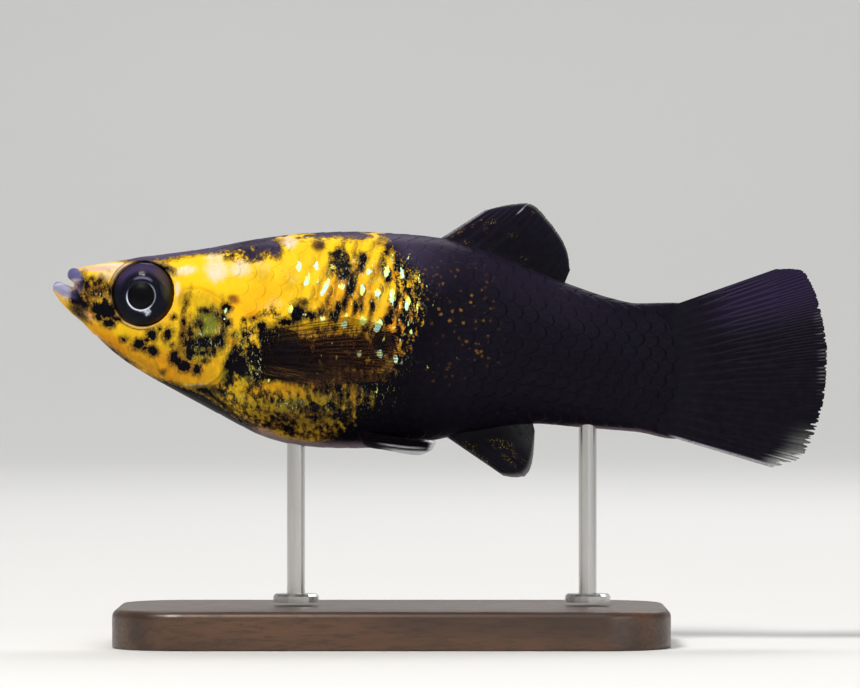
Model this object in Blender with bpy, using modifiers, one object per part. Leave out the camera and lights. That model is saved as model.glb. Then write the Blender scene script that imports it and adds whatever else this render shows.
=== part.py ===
"""Gold dust tuxedo molly, an adult female, life size, level in the water on a small display stand.

The fish faces -X, its left flank is on -Y and +Z is up. The origin is on the floor, under the middle
of the fish's length. Sizes are in millimetres and are turned into metres where meshes are made.
"""

import math

import bmesh
import bpy
import numpy as np
from mathutils import Matrix

MM = 0.001
GAP = 0.3  # between pieces that touch
FAR = 40.0  # longer than any piece, for cutters that run right through
SIDES = ((-1, "left"), (1, "right"))

# Body outline, from the tip of the lower jaw at -X to the root of the tail fin
SNOUT_TIP_X = -32.25
TAIL_ROOT_X = 18.6
BODY_END_X = 19.5  # the outline runs on a little past the root, so that the last ring has a slope
BACK_LINE = (
    (SNOUT_TIP_X, 29.85), (-31.9, 30.0), (-31.2, 30.02), (-30.85, 30.1), (-30.5, 30.95),
    (-30.0, 31.35), (-28.3, 31.67), (-24.6, 32.25), (-19.6, 32.95), (-14.6, 33.85), (-11.0, 34.25),
    (-7.5, 34.38), (-3.3, 34.2), (0.0, 33.85), (2.5, 33.25), (5.0, 32.35), (7.5, 31.35),
    (10.0, 30.3), (12.0, 29.55), (14.2, 28.85), (16.5, 28.4), (BODY_END_X, 28.45),
)
BELLY_LINE = (
    (SNOUT_TIP_X, 29.45), (-31.7, 28.6), (-30.8, 27.65), (-29.8, 26.8), (-28.8, 25.75), (-26.8, 24.0),
    (-24.6, 22.55), (-22.1, 21.15), (-19.6, 19.8), (-17.1, 18.45), (-14.6, 17.25), (-12.1, 16.6),
    (-9.6, 16.35), (-7.1, 16.3), (-3.3, 16.5), (0.8, 17.25), (3.3, 17.8), (7.7, 18.35),
    (11.7, 18.05), (14.2, 17.85), (16.5, 17.65), (BODY_END_X, 17.0),
)
HALF_WIDTH = (
    (SNOUT_TIP_X, 0.35), (-31.9, 0.95), (-31.2, 1.4), (-30.0, 1.85), (-28.3, 2.35), (-26.5, 2.8),
    (-24.6, 3.15), (-22.1, 3.75), (-19.6, 4.3), (-16.0, 4.85), (-11.0, 5.15), (-6.0, 5.1),
    (-1.0, 4.65), (4.0, 3.85), (8.0, 3.1), (12.0, 2.4), (16.0, 1.65), (TAIL_ROOT_X, 0.9),
    (BODY_END_X, 0.75),
)
WIDEST_SHARE = ((SNOUT_TIP_X, 0.5), (-24.6, 0.55), (-14.0, 0.48), (0.0, 0.5), (TAIL_ROOT_X, 0.52))
BACK_FULLNESS = (
    (SNOUT_TIP_X, 2.3), (-28.0, 3.6), (-23.0, 4.0), (-17.0, 2.7), (-8.0, 2.2), (BODY_END_X, 2.1),
)
BELLY_FULLNESS = ((SNOUT_TIP_X, 2.0), (-25.0, 2.0), (-12.0, 2.15), (0.0, 2.0), (BODY_END_X, 2.0))
RING_POINTS = 32
RING_SPACING = ((-28.8, 0.45), (-17.0, 0.95), (FAR, 1.6))  # up to this x, the distance between rings
LEAST_LAST_SPACING = 0.7

# Where the body is parted into head, trunk and tail
HEAD_END_X = -18.75
TRUNK_END_X = 8.7

# Mouth: the lower jaw lies below and in front of a bent line, and each lip is a roll round the front
MOUTH_CORNER = (-29.75, 29.55)
MOUTH_FRONT = (-31.2, 30.15)
MOUTH_FACE_X = -30.4  # nothing of the upper head stands in front of this, only the upper lip
JAW_HINGE_FOOT = (-28.7, 25.0)
UPPER_LIP = ((-29.55, 1.75, 29.75), (-30.0, 1.55, 30.25), (-30.4, 0.95, 30.68), (-30.52, 0.0, 30.8))
UPPER_LIP_RADIUS = 0.54
LOWER_LIP = ((-29.95, 1.7, 29.15), (-30.8, 1.4, 29.4), (-31.5, 0.8, 29.68), (-31.83, 0.0, 29.78))
LOWER_LIP_RADIUS = 0.42
LIP_POINTS = 17
LIP_END_SHARE = 0.55  # of its full radius, at the mouth corners

# Eyes and nostrils
EYE_CENTRE = (-24.67, 2.55, 29.25)
EYE_RADIUS = 2.66
EYE_DEPTH = 1.3
EYE_TOE_DEG = 10.0  # towards the snout
EYE_TILT_DEG = 5.0  # upwards
NOSTRIL_CENTRE = (-28.0, 2.3, 30.75)
NOSTRIL_RADIUS = 0.36

# Gill covers: rounded plates over the back of the head, free along their hind edge
GILL_CENTRE = (-19.75, 25.1)
GILL_HALF_LENGTH = 2.5
GILL_HALF_HEIGHT = 4.05
GILL_LEAN_DEG = 6.0
GILL_POINTS = 28
GILL_SINK = 0.4
GILL_INNER_Y = 1.5  # the cutters of each side start this far from the middle plane
GILL_RISE = ((-22.5, 0.02), (-19.5, 0.15), (-17.2, 0.4))

# Fins: guide rays from the leading edge to the trailing one, each (share, root x, root z, tip x, tip z)
TAIL_FIN_GUIDES = (
    (0.0, 18.9, 28.05, 28.4, 31.4), (0.08, 18.9, 27.2, 30.1, 31.2), (0.18, 18.9, 26.15, 31.15, 29.7),
    (0.34, 18.9, 24.5, 31.85, 27.3), (0.5, 18.9, 22.85, 32.25, 24.4), (0.66, 18.9, 21.2, 32.05, 21.0),
    (0.8, 18.9, 19.7, 31.35, 17.9), (0.9, 18.9, 18.55, 30.3, 15.75), (1.0, 18.9, 17.35, 28.3, 14.5),
)
BACK_FIN_GUIDES = (
    (0.0, -0.9, 33.2, 4.1, 36.4), (0.25, 2.4, 32.4, 7.2, 36.75), (0.5, 5.1, 31.4, 9.2, 35.1),
    (0.75, 7.7, 30.3, 10.55, 32.9), (1.0, 10.1, 29.4, 10.9, 31.3),
)
ANAL_FIN_GUIDES = (
    (0.0, -0.4, 17.9, 5.6, 13.8), (0.25, 2.2, 18.4, 7.0, 13.95), (0.5, 4.2, 18.7, 7.7, 15.2),
    (0.75, 6.0, 18.9, 7.85, 16.6), (1.0, 7.6, 19.0, 7.9, 17.75),
)
PECTORAL_GUIDES = (
    (0.0, -14.9, 26.2, -7.5, 27.25), (0.25, -15.0, 25.3, -4.2, 26.4), (0.5, -15.1, 24.4, -3.3, 24.5),
    (0.75, -15.1, 23.5, -4.6, 22.1), (1.0, -15.0, 22.6, -10.1, 21.5),
)
# The pelvic fins lie along the belly: (share, root x, root turn, tip x, tip turn), and the turns are
# in degrees from straight down
PELVIC_GUIDES = (
    (0.0, -6.6, 34.0, -1.4, 30.0), (0.3, -6.4, 27.0, -0.35, 25.0), (0.65, -6.1, 18.0, -0.6, 16.0),
    (1.0, -5.8, 10.0, -1.6, 7.0),
)
# Rays, rows of faces from root to margin, and half the thickness at the root
FIN_BUILD = {
    "tail": (17, 7, 0.8),
    "back": (10, 5, 0.45),
    "anal": (9, 4, 0.45),
    "pectoral": (11, 5, 0.4),
    "pelvic": (6, 4, 0.35),
}
MEMBRANE = 0.5
MARGIN_THICKNESS = 0.3
ROOT_TAPER_SHARE = 0.25  # of the fin's height, over which the root thins out to the membrane
RAY_RIDGE = 0.17
RIDGE_LOSS = 0.4  # share of a ridge's height that is gone at the margin
TIP_NOTCH = 0.018  # how far the membrane's margin stays behind the ray tips, as a share of the height
RAY_SHAPE = ((0.0, 0.0, 0.0), (0.5, 1.0, 1.0))  # place between two grooves, ridge near root, near margin
FORKED_RAY_SHAPE = ((0.0, 0.0, 0.0), (0.3, 0.45, 1.0), (0.5, 1.0, 0.3), (0.7, 0.45, 1.0))
FORK_START = 0.4
FORK_END = 0.65
TAIL_FIN_WAVE = 0.45
TAIL_FIN_WAVES = 1.1
TAIL_FIN_PHASE = 0.5
BACK_FIN_LEAN = 0.35
ANAL_FIN_LEAN = -0.2
LEAN_POWER = 1.5
PECTORAL_STAND_OFF = (0.1, 1.9)
PECTORAL_SPREAD_POWER = 0.8
PELVIC_STAND_OFF = (0.1, 0.85)
SLOPE_STEP = 0.02  # share of a fin over which the way it faces is measured

# Stand
BASE_CENTRE_X = -4.0
BASE_LENGTH = 46.0
BASE_WIDTH = 24.0
BASE_HEIGHT = 3.2
BASE_CORNER = 6.0
BASE_CORNER_STEPS = 8
BASE_BEVEL = 0.6
BASE_BEVEL_STEPS = 2
BASE_BEVEL_ANGLE_DEG = 50.0
ROD_RADIUS = 0.75
ROD_FRONT_X = -12.0
ROD_REAR_X = 12.3
ROD_DEPTH_IN_BODY = 1.3
ROD_END_CHAMFER = 0.15
FLANGE_RADIUS = 1.9
FLANGE_HEIGHT = 0.7
FLANGE_EDGE = 0.2
ROD_STEPS = 20
SHARP_ANGLE_DEG = 40.0
TINY = 0.000001


def clear_scene():
    for obj in list(bpy.data.objects):
        bpy.data.objects.remove(obj)


def material(name, colour, roughness, metallic=0.0):
    made = bpy.data.materials.new(name)
    made.use_nodes = True
    shader = made.node_tree.nodes["Principled BSDF"]
    shader.inputs["Base Color"].default_value = (*colour, 1.0)
    shader.inputs["Roughness"].default_value = roughness
    shader.inputs["Metallic"].default_value = metallic
    return made


def smooth(points, at):
    """Reads rows of (place, value, ...) at any places, as a curve that never overshoots its rows."""
    rows = np.array(points, float)
    x, y = rows[:, 0], rows[:, 1:]
    step = np.diff(x)[:, None]
    slope = np.diff(y, axis=0) / step
    bend = np.zeros_like(y)
    same_way = slope[:-1] * slope[1:] > 0
    before, after = step[:-1], step[1:]
    weight_a, weight_b = 2 * after + before, after + 2 * before
    with np.errstate(divide="ignore", invalid="ignore"):
        mean = (weight_a + weight_b) / (weight_a / slope[:-1] + weight_b / slope[1:])
    bend[1:-1] = np.where(same_way, mean, 0.0)
    bend[0], bend[-1] = slope[0], slope[-1]
    at = np.clip(np.asarray(at, float), x[0], x[-1])
    i = np.clip(np.searchsorted(x, at, side="right") - 1, 0, len(x) - 2)
    h = (x[i + 1] - x[i])[..., None]
    t = ((at - x[i]) / (x[i + 1] - x[i]))[..., None]
    value = (
        (1 + 2 * t) * (1 - t) ** 2 * y[i]
        + t * (1 - t) ** 2 * h * bend[i]
        + t * t * (3 - 2 * t) * y[i + 1]
        + t * t * (t - 1) * h * bend[i + 1]
    )
    return value[..., 0] if value.shape[-1] == 1 else value


def body_section(x, turn_deg, grow=0.0):
    """(y, z) on the body at x. The turn is 0 on the right flank, 90 on the back and 270 on the belly."""
    top = smooth(BACK_LINE, x) + grow
    bottom = smooth(BELLY_LINE, x) - grow
    width = smooth(HALF_WIDTH, x) + grow
    widest = bottom + (top - bottom) * smooth(WIDEST_SHARE, x)
    angle = np.radians(turn_deg)
    across, up = np.cos(angle), np.sin(angle)
    fullness = np.where(up >= 0, smooth(BACK_FULLNESS, x), smooth(BELLY_FULLNESS, x))
    y = width * np.sign(across) * np.abs(across) ** (2 / fullness)
    rise = np.where(up >= 0, top - widest, widest - bottom)
    z = widest + rise * np.sign(up) * np.abs(up) ** (2 / fullness)
    return y, z


def flank_y(x, z):
    """How far the flank stands out from the middle at x and height z."""
    turns = np.linspace(-89.0, 89.0, 241)
    y, height = body_section(x, turns)
    return float(np.interp(z, height, y))


def object_from_bmesh(name, mesh_data, look, collection):
    bmesh.ops.recalc_face_normals(mesh_data, faces=mesh_data.faces)
    mesh = bpy.data.meshes.new(name)
    mesh_data.to_mesh(mesh)
    mesh_data.free()
    obj = bpy.data.objects.new(name, mesh)
    collection.objects.link(obj)
    if look:
        mesh.materials.append(look)
    return obj


def loft(name, rings, look, collection):
    """A closed solid through rings of equal point counts, in millimetres, with flat ends."""
    mesh_data = bmesh.new()
    loops = [[mesh_data.verts.new([c * MM for c in p]) for p in ring] for ring in rings]
    for first, second in zip(loops, loops[1:]):
        for i in range(len(first)):
            j = (i + 1) % len(first)
            mesh_data.faces.new((first[i], first[j], second[j], second[i]))
    mesh_data.faces.new(loops[0])
    mesh_data.faces.new(loops[-1])
    return object_from_bmesh(name, mesh_data, look, collection)


def body_loft(name, collection, grow=lambda x: 0.0, look=None):
    """The whole body without fins, its skin moved out by grow(x)."""
    stations = [SNOUT_TIP_X]
    while stations[-1] < TAIL_ROOT_X - LEAST_LAST_SPACING:
        spacing = next(step for end, step in RING_SPACING if stations[-1] < end)
        stations.append(stations[-1] + spacing)
    stations[-1] = TAIL_ROOT_X
    turns = np.arange(RING_POINTS) * 360.0 / RING_POINTS
    rings = []
    for x in stations:
        y, z = body_section(x, turns, grow(x))
        rings.append([(x, a, b) for a, b in zip(y, z)])
    return loft(name, rings, look, collection)


def side_prism(name, outline, collection, near=-FAR, far=FAR):
    """A prism whose (x, z) outline is seen from the side, running from y near to y far."""
    rings = [[(x, y, z) for x, z in outline] for y in (near, far)]
    return loft(name, rings, None, collection)


def box_between(name, start_x, end_x, collection):
    outline = ((start_x, -FAR), (end_x, -FAR), (end_x, 2 * FAR), (start_x, 2 * FAR))
    return side_prism(name, outline, collection)


def ball(name, centre, radius, look, collection):
    mesh_data = bmesh.new()
    bmesh.ops.create_uvsphere(mesh_data, u_segments=12, v_segments=8, radius=radius * MM)
    bmesh.ops.translate(mesh_data, verts=mesh_data.verts, vec=[c * MM for c in centre])
    return object_from_bmesh(name, mesh_data, look, collection)


def eyeball(name, side, extra, look, collection):
    """A flattened ball, extra millimetres larger all round, turned to face out of that side of the head."""
    mesh_data = bmesh.new()
    bmesh.ops.create_uvsphere(mesh_data, u_segments=24, v_segments=12, radius=1.0)
    size = Matrix.Diagonal((EYE_RADIUS + extra, EYE_RADIUS + extra, EYE_DEPTH + extra, 1.0))
    pole_to_side = Matrix.Rotation(math.radians(-90), 4, "X")
    toe = Matrix.Rotation(math.radians(side * EYE_TOE_DEG), 4, "Z")
    tilt = Matrix.Rotation(math.radians(side * EYE_TILT_DEG), 4, "X")
    x, y, z = EYE_CENTRE
    place = Matrix.Scale(MM, 4) @ Matrix.Translation((x, side * y, z))
    bmesh.ops.transform(mesh_data, verts=mesh_data.verts, matrix=place @ toe @ tilt @ pole_to_side @ size)
    return object_from_bmesh(name, mesh_data, look, collection)


def lip_roll(name, half_path, radius, look, collection):
    """A round roll that follows a lip from one mouth corner over the front to the other."""
    path = [(x, -y, z) for x, y, z in half_path] + [(x, y, z) for x, y, z in half_path[-2::-1]]
    share = np.linspace(0.0, 1.0, len(path))
    rows = [(s, *p) for s, p in zip(share, path)]
    steps = np.linspace(0.0, 1.0, LIP_POINTS)
    points = smooth(rows, steps)
    fullness = LIP_END_SHARE + (1.0 - LIP_END_SHARE) * np.sin(math.pi * steps)
    curve = bpy.data.curves.new(name, "CURVE")
    curve.dimensions = "3D"
    curve.bevel_depth = radius * MM
    curve.bevel_resolution = 3
    curve.use_fill_caps = True
    spline = curve.splines.new("POLY")
    spline.points.add(LIP_POINTS - 1)
    for target, p, share in zip(spline.points, points, fullness):
        target.co = (*[c * MM for c in p], 1.0)
        target.radius = share
    guide = bpy.data.objects.new(name + "_path", curve)
    collection.objects.link(guide)
    bpy.context.view_layer.update()
    graph = bpy.context.evaluated_depsgraph_get()
    mesh_data = bmesh.new()
    mesh_data.from_mesh(bpy.data.meshes.new_from_object(guide.evaluated_get(graph)))
    bmesh.ops.remove_doubles(mesh_data, verts=mesh_data.verts, dist=TINY)
    bpy.data.objects.remove(guide)
    return object_from_bmesh(name, mesh_data, look, collection)


def bake(obj):
    """Turns the object's modifiers into its mesh and keeps only its largest closed surface."""
    bpy.context.view_layer.update()
    graph = bpy.context.evaluated_depsgraph_get()
    mesh = bpy.data.meshes.new_from_object(obj.evaluated_get(graph))
    obj.modifiers.clear()
    obj.data = mesh
    mesh_data = bmesh.new()
    mesh_data.from_mesh(mesh)
    left = set(mesh_data.verts)
    groups = []
    while left:
        group, edge = set(), [left.pop()]
        while edge:
            v = edge.pop()
            group.add(v)
            near = {e.other_vert(v) for e in v.link_edges} & left
            left -= near
            edge.extend(near)
        groups.append(group)
    groups.sort(key=len)
    bmesh.ops.delete(mesh_data, geom=[v for g in groups[:-1] for v in g], context="VERTS")
    mesh_data.to_mesh(mesh)
    mesh_data.free()


def combine(obj, operation, *others, solver="EXACT"):
    """Cuts, joins or crosses a solid with others by Booleans, in order."""
    for other in others:
        boolean = obj.modifiers.new(operation.lower(), "BOOLEAN")
        boolean.operation = operation
        boolean.object = other
        boolean.solver = solver
    bake(obj)


def fin_columns(rays, shape):
    """Where a fin's columns stand across it, and each one's ridge near the root and near the margin."""
    columns = [((ray + s) / rays, near, far) for ray in range(rays) for s, near, far in shape]
    return columns + [(1.0, 0.0, 0.0)]


def fin(name, kind, place, look, collection):
    """A thin fin with raised rays. place gives a point of its middle sheet and the way it faces."""
    rays, rows, root_half = FIN_BUILD[kind]
    columns = fin_columns(rays, FORKED_RAY_SHAPE if kind == "tail" else RAY_SHAPE)
    mesh_data = bmesh.new()
    near_side, far_side = [], []
    for row in range(rows + 1):
        along = row / rows
        fork = min(1.0, max(0.0, (along - FORK_START) / (FORK_END - FORK_START)))
        sheet_half = root_half + (MEMBRANE / 2 - root_half) * min(1.0, along / ROOT_TAPER_SHARE)
        if row == rows:
            sheet_half = MARGIN_THICKNESS / 2
        ridge = RAY_RIDGE * (1.0 - RIDGE_LOSS * along)
        near_row, far_row = [], []
        for share, near_height, far_height in columns:
            height = near_height + (far_height - near_height) * fork
            reach = along - TIP_NOTCH * along**3 * (1.0 - height)
            point, facing = place(share, reach)
            half = sheet_half + ridge * height
            near_row.append(mesh_data.verts.new([(p + f * half) * MM for p, f in zip(point, facing)]))
            far_row.append(mesh_data.verts.new([(p - f * half) * MM for p, f in zip(point, facing)]))
        near_side.append(near_row)
        far_side.append(far_row)
    last = len(columns) - 1

    def split(a, b, c, d):
        mesh_data.faces.new((a, b, c))
        mesh_data.faces.new((a, c, d))

    for i in range(rows):
        for j in range(last):
            for sheet in (near_side, far_side):
                split(sheet[i][j], sheet[i][j + 1], sheet[i + 1][j + 1], sheet[i + 1][j])
        for j in (0, last):
            split(near_side[i][j], near_side[i + 1][j], far_side[i + 1][j], far_side[i][j])
    for j in range(last):
        for i in (0, rows):
            split(near_side[i][j], near_side[i][j + 1], far_side[i][j + 1], far_side[i][j])
    return object_from_bmesh(name, mesh_data, look, collection)


def median_place(guides, sway):
    """Points of an upright fin in the middle plane, moved sideways by sway(share, along)."""

    def place(share, along):
        root_x, root_z, tip_x, tip_z = smooth(guides, share)
        x = root_x + (tip_x - root_x) * along
        z = root_z + (tip_z - root_z) * along
        return (x, sway(share, along), z), (0.0, 1.0, 0.0)

    return place


def facing_of(point_at, share, along, side):
    """The unit vector square to a sheet, pointing away from the body."""
    across = np.subtract(point_at(share + SLOPE_STEP, along), point_at(share - SLOPE_STEP, along))
    out = np.subtract(point_at(share, along + SLOPE_STEP), point_at(share, along - SLOPE_STEP))
    square = np.cross(across, out)
    square /= np.linalg.norm(square)
    return tuple(square if square[1] * side > 0 else -square)


def pectoral_place(side):
    def point_at(share, along):
        root_x, root_z, tip_x, tip_z = smooth(PECTORAL_GUIDES, share)
        x = root_x + (tip_x - root_x) * along
        z = root_z + (tip_z - root_z) * along
        near, far = PECTORAL_STAND_OFF
        stand_off = near + (far - near) * max(along, 0.0) ** PECTORAL_SPREAD_POWER
        return x, side * (flank_y(x, z) + stand_off), z

    def place(share, along):
        return point_at(share, along), facing_of(point_at, share, along, side)

    return place


def pelvic_place(side):
    def point_at(share, along):
        root_x, root_turn, tip_x, tip_turn = smooth(PELVIC_GUIDES, share)
        x = root_x + (tip_x - root_x) * along
        turn = root_turn + (tip_turn - root_turn) * along
        near, far = PELVIC_STAND_OFF
        y, z = body_section(x, 270.0 + side * turn, near + (far - near) * max(along, 0.0))
        return x, float(y), float(z)

    def place(share, along):
        return point_at(share, along), facing_of(point_at, share, along, side)

    return place


def tail_fin_sway(share, along):
    return TAIL_FIN_WAVE * math.sin(2 * math.pi * TAIL_FIN_WAVES * share + TAIL_FIN_PHASE) * along**2


def back_fin_sway(share, along):
    return BACK_FIN_LEAN * along**LEAN_POWER


def anal_fin_sway(share, along):
    return ANAL_FIN_LEAN * along**LEAN_POWER


def gill_outline(extra):
    """The gill cover's outline from the side, extra millimetres larger all round."""
    lean = math.radians(GILL_LEAN_DEG)
    points = []
    for i in range(GILL_POINTS):
        angle = 2 * math.pi * i / GILL_POINTS
        x = (GILL_HALF_LENGTH + extra) * math.cos(angle)
        z = (GILL_HALF_HEIGHT + extra) * math.sin(angle)
        points.append((
            GILL_CENTRE[0] + x * math.cos(lean) + z * math.sin(lean),
            GILL_CENTRE[1] - x * math.sin(lean) + z * math.cos(lean),
        ))
    return points


def jaw_outline(shift):
    """The lower jaw's region from the side, its mouth line lowered and its hinge moved forward by shift."""
    corner = (MOUTH_CORNER[0] - shift, MOUTH_CORNER[1] - shift)
    front = (MOUTH_FRONT[0], MOUTH_FRONT[1] - shift)
    foot = (JAW_HINGE_FOOT[0] - shift, JAW_HINGE_FOOT[1])
    return (front, corner, foot, (foot[0], 0.0), (-FAR, 0.0), (-FAR, front[1]))


def rod(name, x, top_z, look, collection):
    """A turned display rod with a flange that sits on the base."""
    foot_z = BASE_HEIGHT + GAP
    profile = (
        (0.0, top_z), (ROD_RADIUS - ROD_END_CHAMFER, top_z), (ROD_RADIUS, top_z - ROD_END_CHAMFER),
        (ROD_RADIUS, foot_z + FLANGE_HEIGHT), (FLANGE_RADIUS - FLANGE_EDGE, foot_z + FLANGE_HEIGHT),
        (FLANGE_RADIUS, foot_z + FLANGE_HEIGHT - FLANGE_EDGE), (FLANGE_RADIUS, foot_z), (0.0, foot_z),
    )
    mesh = bpy.data.meshes.new(name)
    points = [(r * MM, 0.0, z * MM) for r, z in profile]
    mesh.from_pydata(points, [(i, i + 1) for i in range(len(points) - 1)], [])
    mesh.materials.append(look)
    obj = bpy.data.objects.new(name, mesh)
    obj.location = (x * MM, 0.0, 0.0)
    collection.objects.link(obj)
    screw = obj.modifiers.new("turn", "SCREW")
    screw.steps = ROD_STEPS
    screw.render_steps = ROD_STEPS
    screw.use_merge_vertices = True
    screw.merge_threshold = TINY
    return obj


def stand_base(look, collection):
    """A low plate with round corners and a soft top edge."""
    mesh_data = bmesh.new()
    bmesh.ops.create_cube(mesh_data, size=1.0)
    for v in mesh_data.verts:
        v.co = (
            (BASE_CENTRE_X + v.co.x * BASE_LENGTH) * MM,
            v.co.y * BASE_WIDTH * MM,
            (v.co.z + 0.5) * BASE_HEIGHT * MM,
        )
    uprights = [e for e in mesh_data.edges if abs(e.verts[0].co.z - e.verts[1].co.z) > MM]
    bmesh.ops.bevel(
        mesh_data, geom=uprights, offset=BASE_CORNER * MM, segments=BASE_CORNER_STEPS, profile=0.5,
        affect="EDGES",
    )
    obj = object_from_bmesh("stand_base", mesh_data, look, collection)
    soften = obj.modifiers.new("edge", "BEVEL")
    soften.width = BASE_BEVEL * MM
    soften.segments = BASE_BEVEL_STEPS
    soften.limit_method = "ANGLE"
    soften.angle_limit = math.radians(BASE_BEVEL_ANGLE_DEG)
    return obj


def cut_rod_sockets(trunk, tail, cutters):
    """Opens a round socket in the belly and in the tail's underside for each rod."""
    for body, x in ((trunk, ROD_FRONT_X), (tail, ROD_REAR_X)):
        top = float(smooth(BELLY_LINE, x)) + ROD_DEPTH_IN_BODY + GAP
        mesh_data = bmesh.new()
        bmesh.ops.create_cone(
            mesh_data, cap_ends=True, segments=ROD_STEPS, depth=FAR * MM,
            radius1=(ROD_RADIUS + GAP) * MM, radius2=(ROD_RADIUS + GAP) * MM,
        )
        bmesh.ops.translate(mesh_data, verts=mesh_data.verts, vec=(x * MM, 0.0, (top - FAR / 2) * MM))
        socket = object_from_bmesh("socket_cut", mesh_data, None, cutters)
        combine(body, "DIFFERENCE", socket, solver="MANIFOLD")


def build_head(looks, parts, cutters):
    """Head, lower jaw, upper lip and eyes, cut from one body loft."""
    head = body_loft("head", parts, look=looks["gold"])
    jaw = body_loft("lower_jaw", parts, look=looks["gold"])
    upper_head = box_between("upper_head_region", MOUTH_FACE_X, HEAD_END_X - GAP / 2, cutters)
    jaw_space = side_prism("jaw_space", jaw_outline(0.0), cutters)
    jaw_region = side_prism("jaw_region", jaw_outline(GAP), cutters)
    lip_roll("upper_lip", UPPER_LIP, UPPER_LIP_RADIUS, looks["lip"], parts)
    lip_space = lip_roll("lip_space", UPPER_LIP, UPPER_LIP_RADIUS + GAP, None, cutters)
    lower_lip = lip_roll("lower_lip", LOWER_LIP, LOWER_LIP_RADIUS, None, cutters)
    combine(head, "INTERSECT", upper_head)
    combine(head, "DIFFERENCE", jaw_space, lip_space)
    combine(jaw, "INTERSECT", jaw_region)
    combine(jaw, "UNION", lower_lip)
    combine(jaw, "DIFFERENCE", lip_space)
    x, y, z = NOSTRIL_CENTRE
    for side, word in SIDES:
        eyeball("eye_" + word, side, 0.0, looks["eye"], parts)
        socket = eyeball("eye_socket", side, GAP, None, cutters)
        pit = ball("nostril", (x, side * y, z), NOSTRIL_RADIUS, None, cutters)
        combine(head, "DIFFERENCE", socket, pit)
    return head


def build_gill_covers(head, trunk, looks, parts, cutters):
    """Cuts a shallow bed for each gill cover and lays the cover in it."""
    floor = body_loft("gill_floor", cutters, grow=lambda x: -GILL_SINK - GAP)
    core = body_loft("gill_core", cutters, grow=lambda x: -GILL_SINK)
    for side, word in SIDES:
        near, far = sorted((side * GILL_INNER_Y, side * FAR))
        bed = side_prism("gill_bed", gill_outline(GAP), cutters, near, far)
        combine(bed, "DIFFERENCE", floor)
        combine(head, "DIFFERENCE", bed)
        combine(trunk, "DIFFERENCE", bed)
        cover = body_loft("gill_cover_" + word, parts, lambda x: smooth(GILL_RISE, x), looks["gold"])
        region = side_prism("gill_region", gill_outline(0.0), cutters, near, far)
        combine(cover, "INTERSECT", region)
        combine(cover, "DIFFERENCE", core)


def build_fins(looks, parts, cutters):
    """All seven fins. The tail fin meets the stalk's end, and the other roots are trimmed to the skin."""
    dark, clear = looks["fin"], looks["pale_fin"]
    skin = body_loft("skin_space", cutters, grow=lambda x: GAP)
    fin("fin_tail", "tail", median_place(TAIL_FIN_GUIDES, tail_fin_sway), dark, parts)
    fins = [
        fin("fin_dorsal", "back", median_place(BACK_FIN_GUIDES, back_fin_sway), dark, parts),
        fin("fin_anal", "anal", median_place(ANAL_FIN_GUIDES, anal_fin_sway), dark, parts),
    ]
    for side, word in SIDES:
        fins.append(fin("fin_pectoral_" + word, "pectoral", pectoral_place(side), clear, parts))
        fins.append(fin("fin_pelvic_" + word, "pelvic", pelvic_place(side), clear, parts))
    for obj in fins:
        combine(obj, "DIFFERENCE", skin)


def main():
    clear_scene()
    parts = bpy.data.collections.new("gold_dust_molly")
    cutters = bpy.data.collections.new("cutters")
    bpy.context.scene.collection.children.link(parts)
    bpy.context.scene.collection.children.link(cutters)
    looks = {
        "gold": material("gold_skin", (0.85, 0.52, 0.05), 0.35),
        "black": material("black_skin", (0.02, 0.015, 0.03), 0.4),
        "lip": material("lip_skin", (0.36, 0.31, 0.55), 0.35),
        "eye": material("eye_surface", (0.01, 0.01, 0.02), 0.08),
        "fin": material("black_fin", (0.025, 0.018, 0.035), 0.45),
        "pale_fin": material("clear_fin", (0.2, 0.13, 0.09), 0.4),
        "steel": material("rod_steel", (0.6, 0.6, 0.6), 0.3, 1.0),
        "base": material("base_wood", (0.09, 0.05, 0.03), 0.4),
    }
    head = build_head(looks, parts, cutters)
    trunk = body_loft("trunk", parts, look=looks["black"])
    middle = box_between("middle", HEAD_END_X + GAP / 2, TRUNK_END_X - GAP / 2, cutters)
    combine(trunk, "INTERSECT", middle)
    tail = body_loft("tail_stalk", parts, look=looks["black"])
    combine(tail, "INTERSECT", box_between("rear", TRUNK_END_X + GAP / 2, FAR, cutters))
    build_gill_covers(head, trunk, looks, parts, cutters)
    build_fins(looks, parts, cutters)
    cut_rod_sockets(trunk, tail, cutters)
    for name, x in (("stand_rod_front", ROD_FRONT_X), ("stand_rod_rear", ROD_REAR_X)):
        rod(name, x, float(smooth(BELLY_LINE, x)) + ROD_DEPTH_IN_BODY, looks["steel"], parts)
    stand_base(looks["base"], parts)
    for cutter in list(cutters.objects):
        bpy.data.objects.remove(cutter)
    for obj in parts.objects:
        obj.data.shade_smooth()
        obj.data.set_sharp_from_angle(angle=math.radians(SHARP_ANGLE_DEG))


main()
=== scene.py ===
"""The looks of a gold dust tuxedo molly, an adult female, life size, on a small display stand.

The fish faces -X, its left flank is on -Y and +Z is up. Sizes are in millimetres and are turned into
metres where meshes are made. Markings are placed in pixels of the photograph, which looks
straight at the left flank at 12 pixels to a millimetre.
"""

import math

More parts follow.
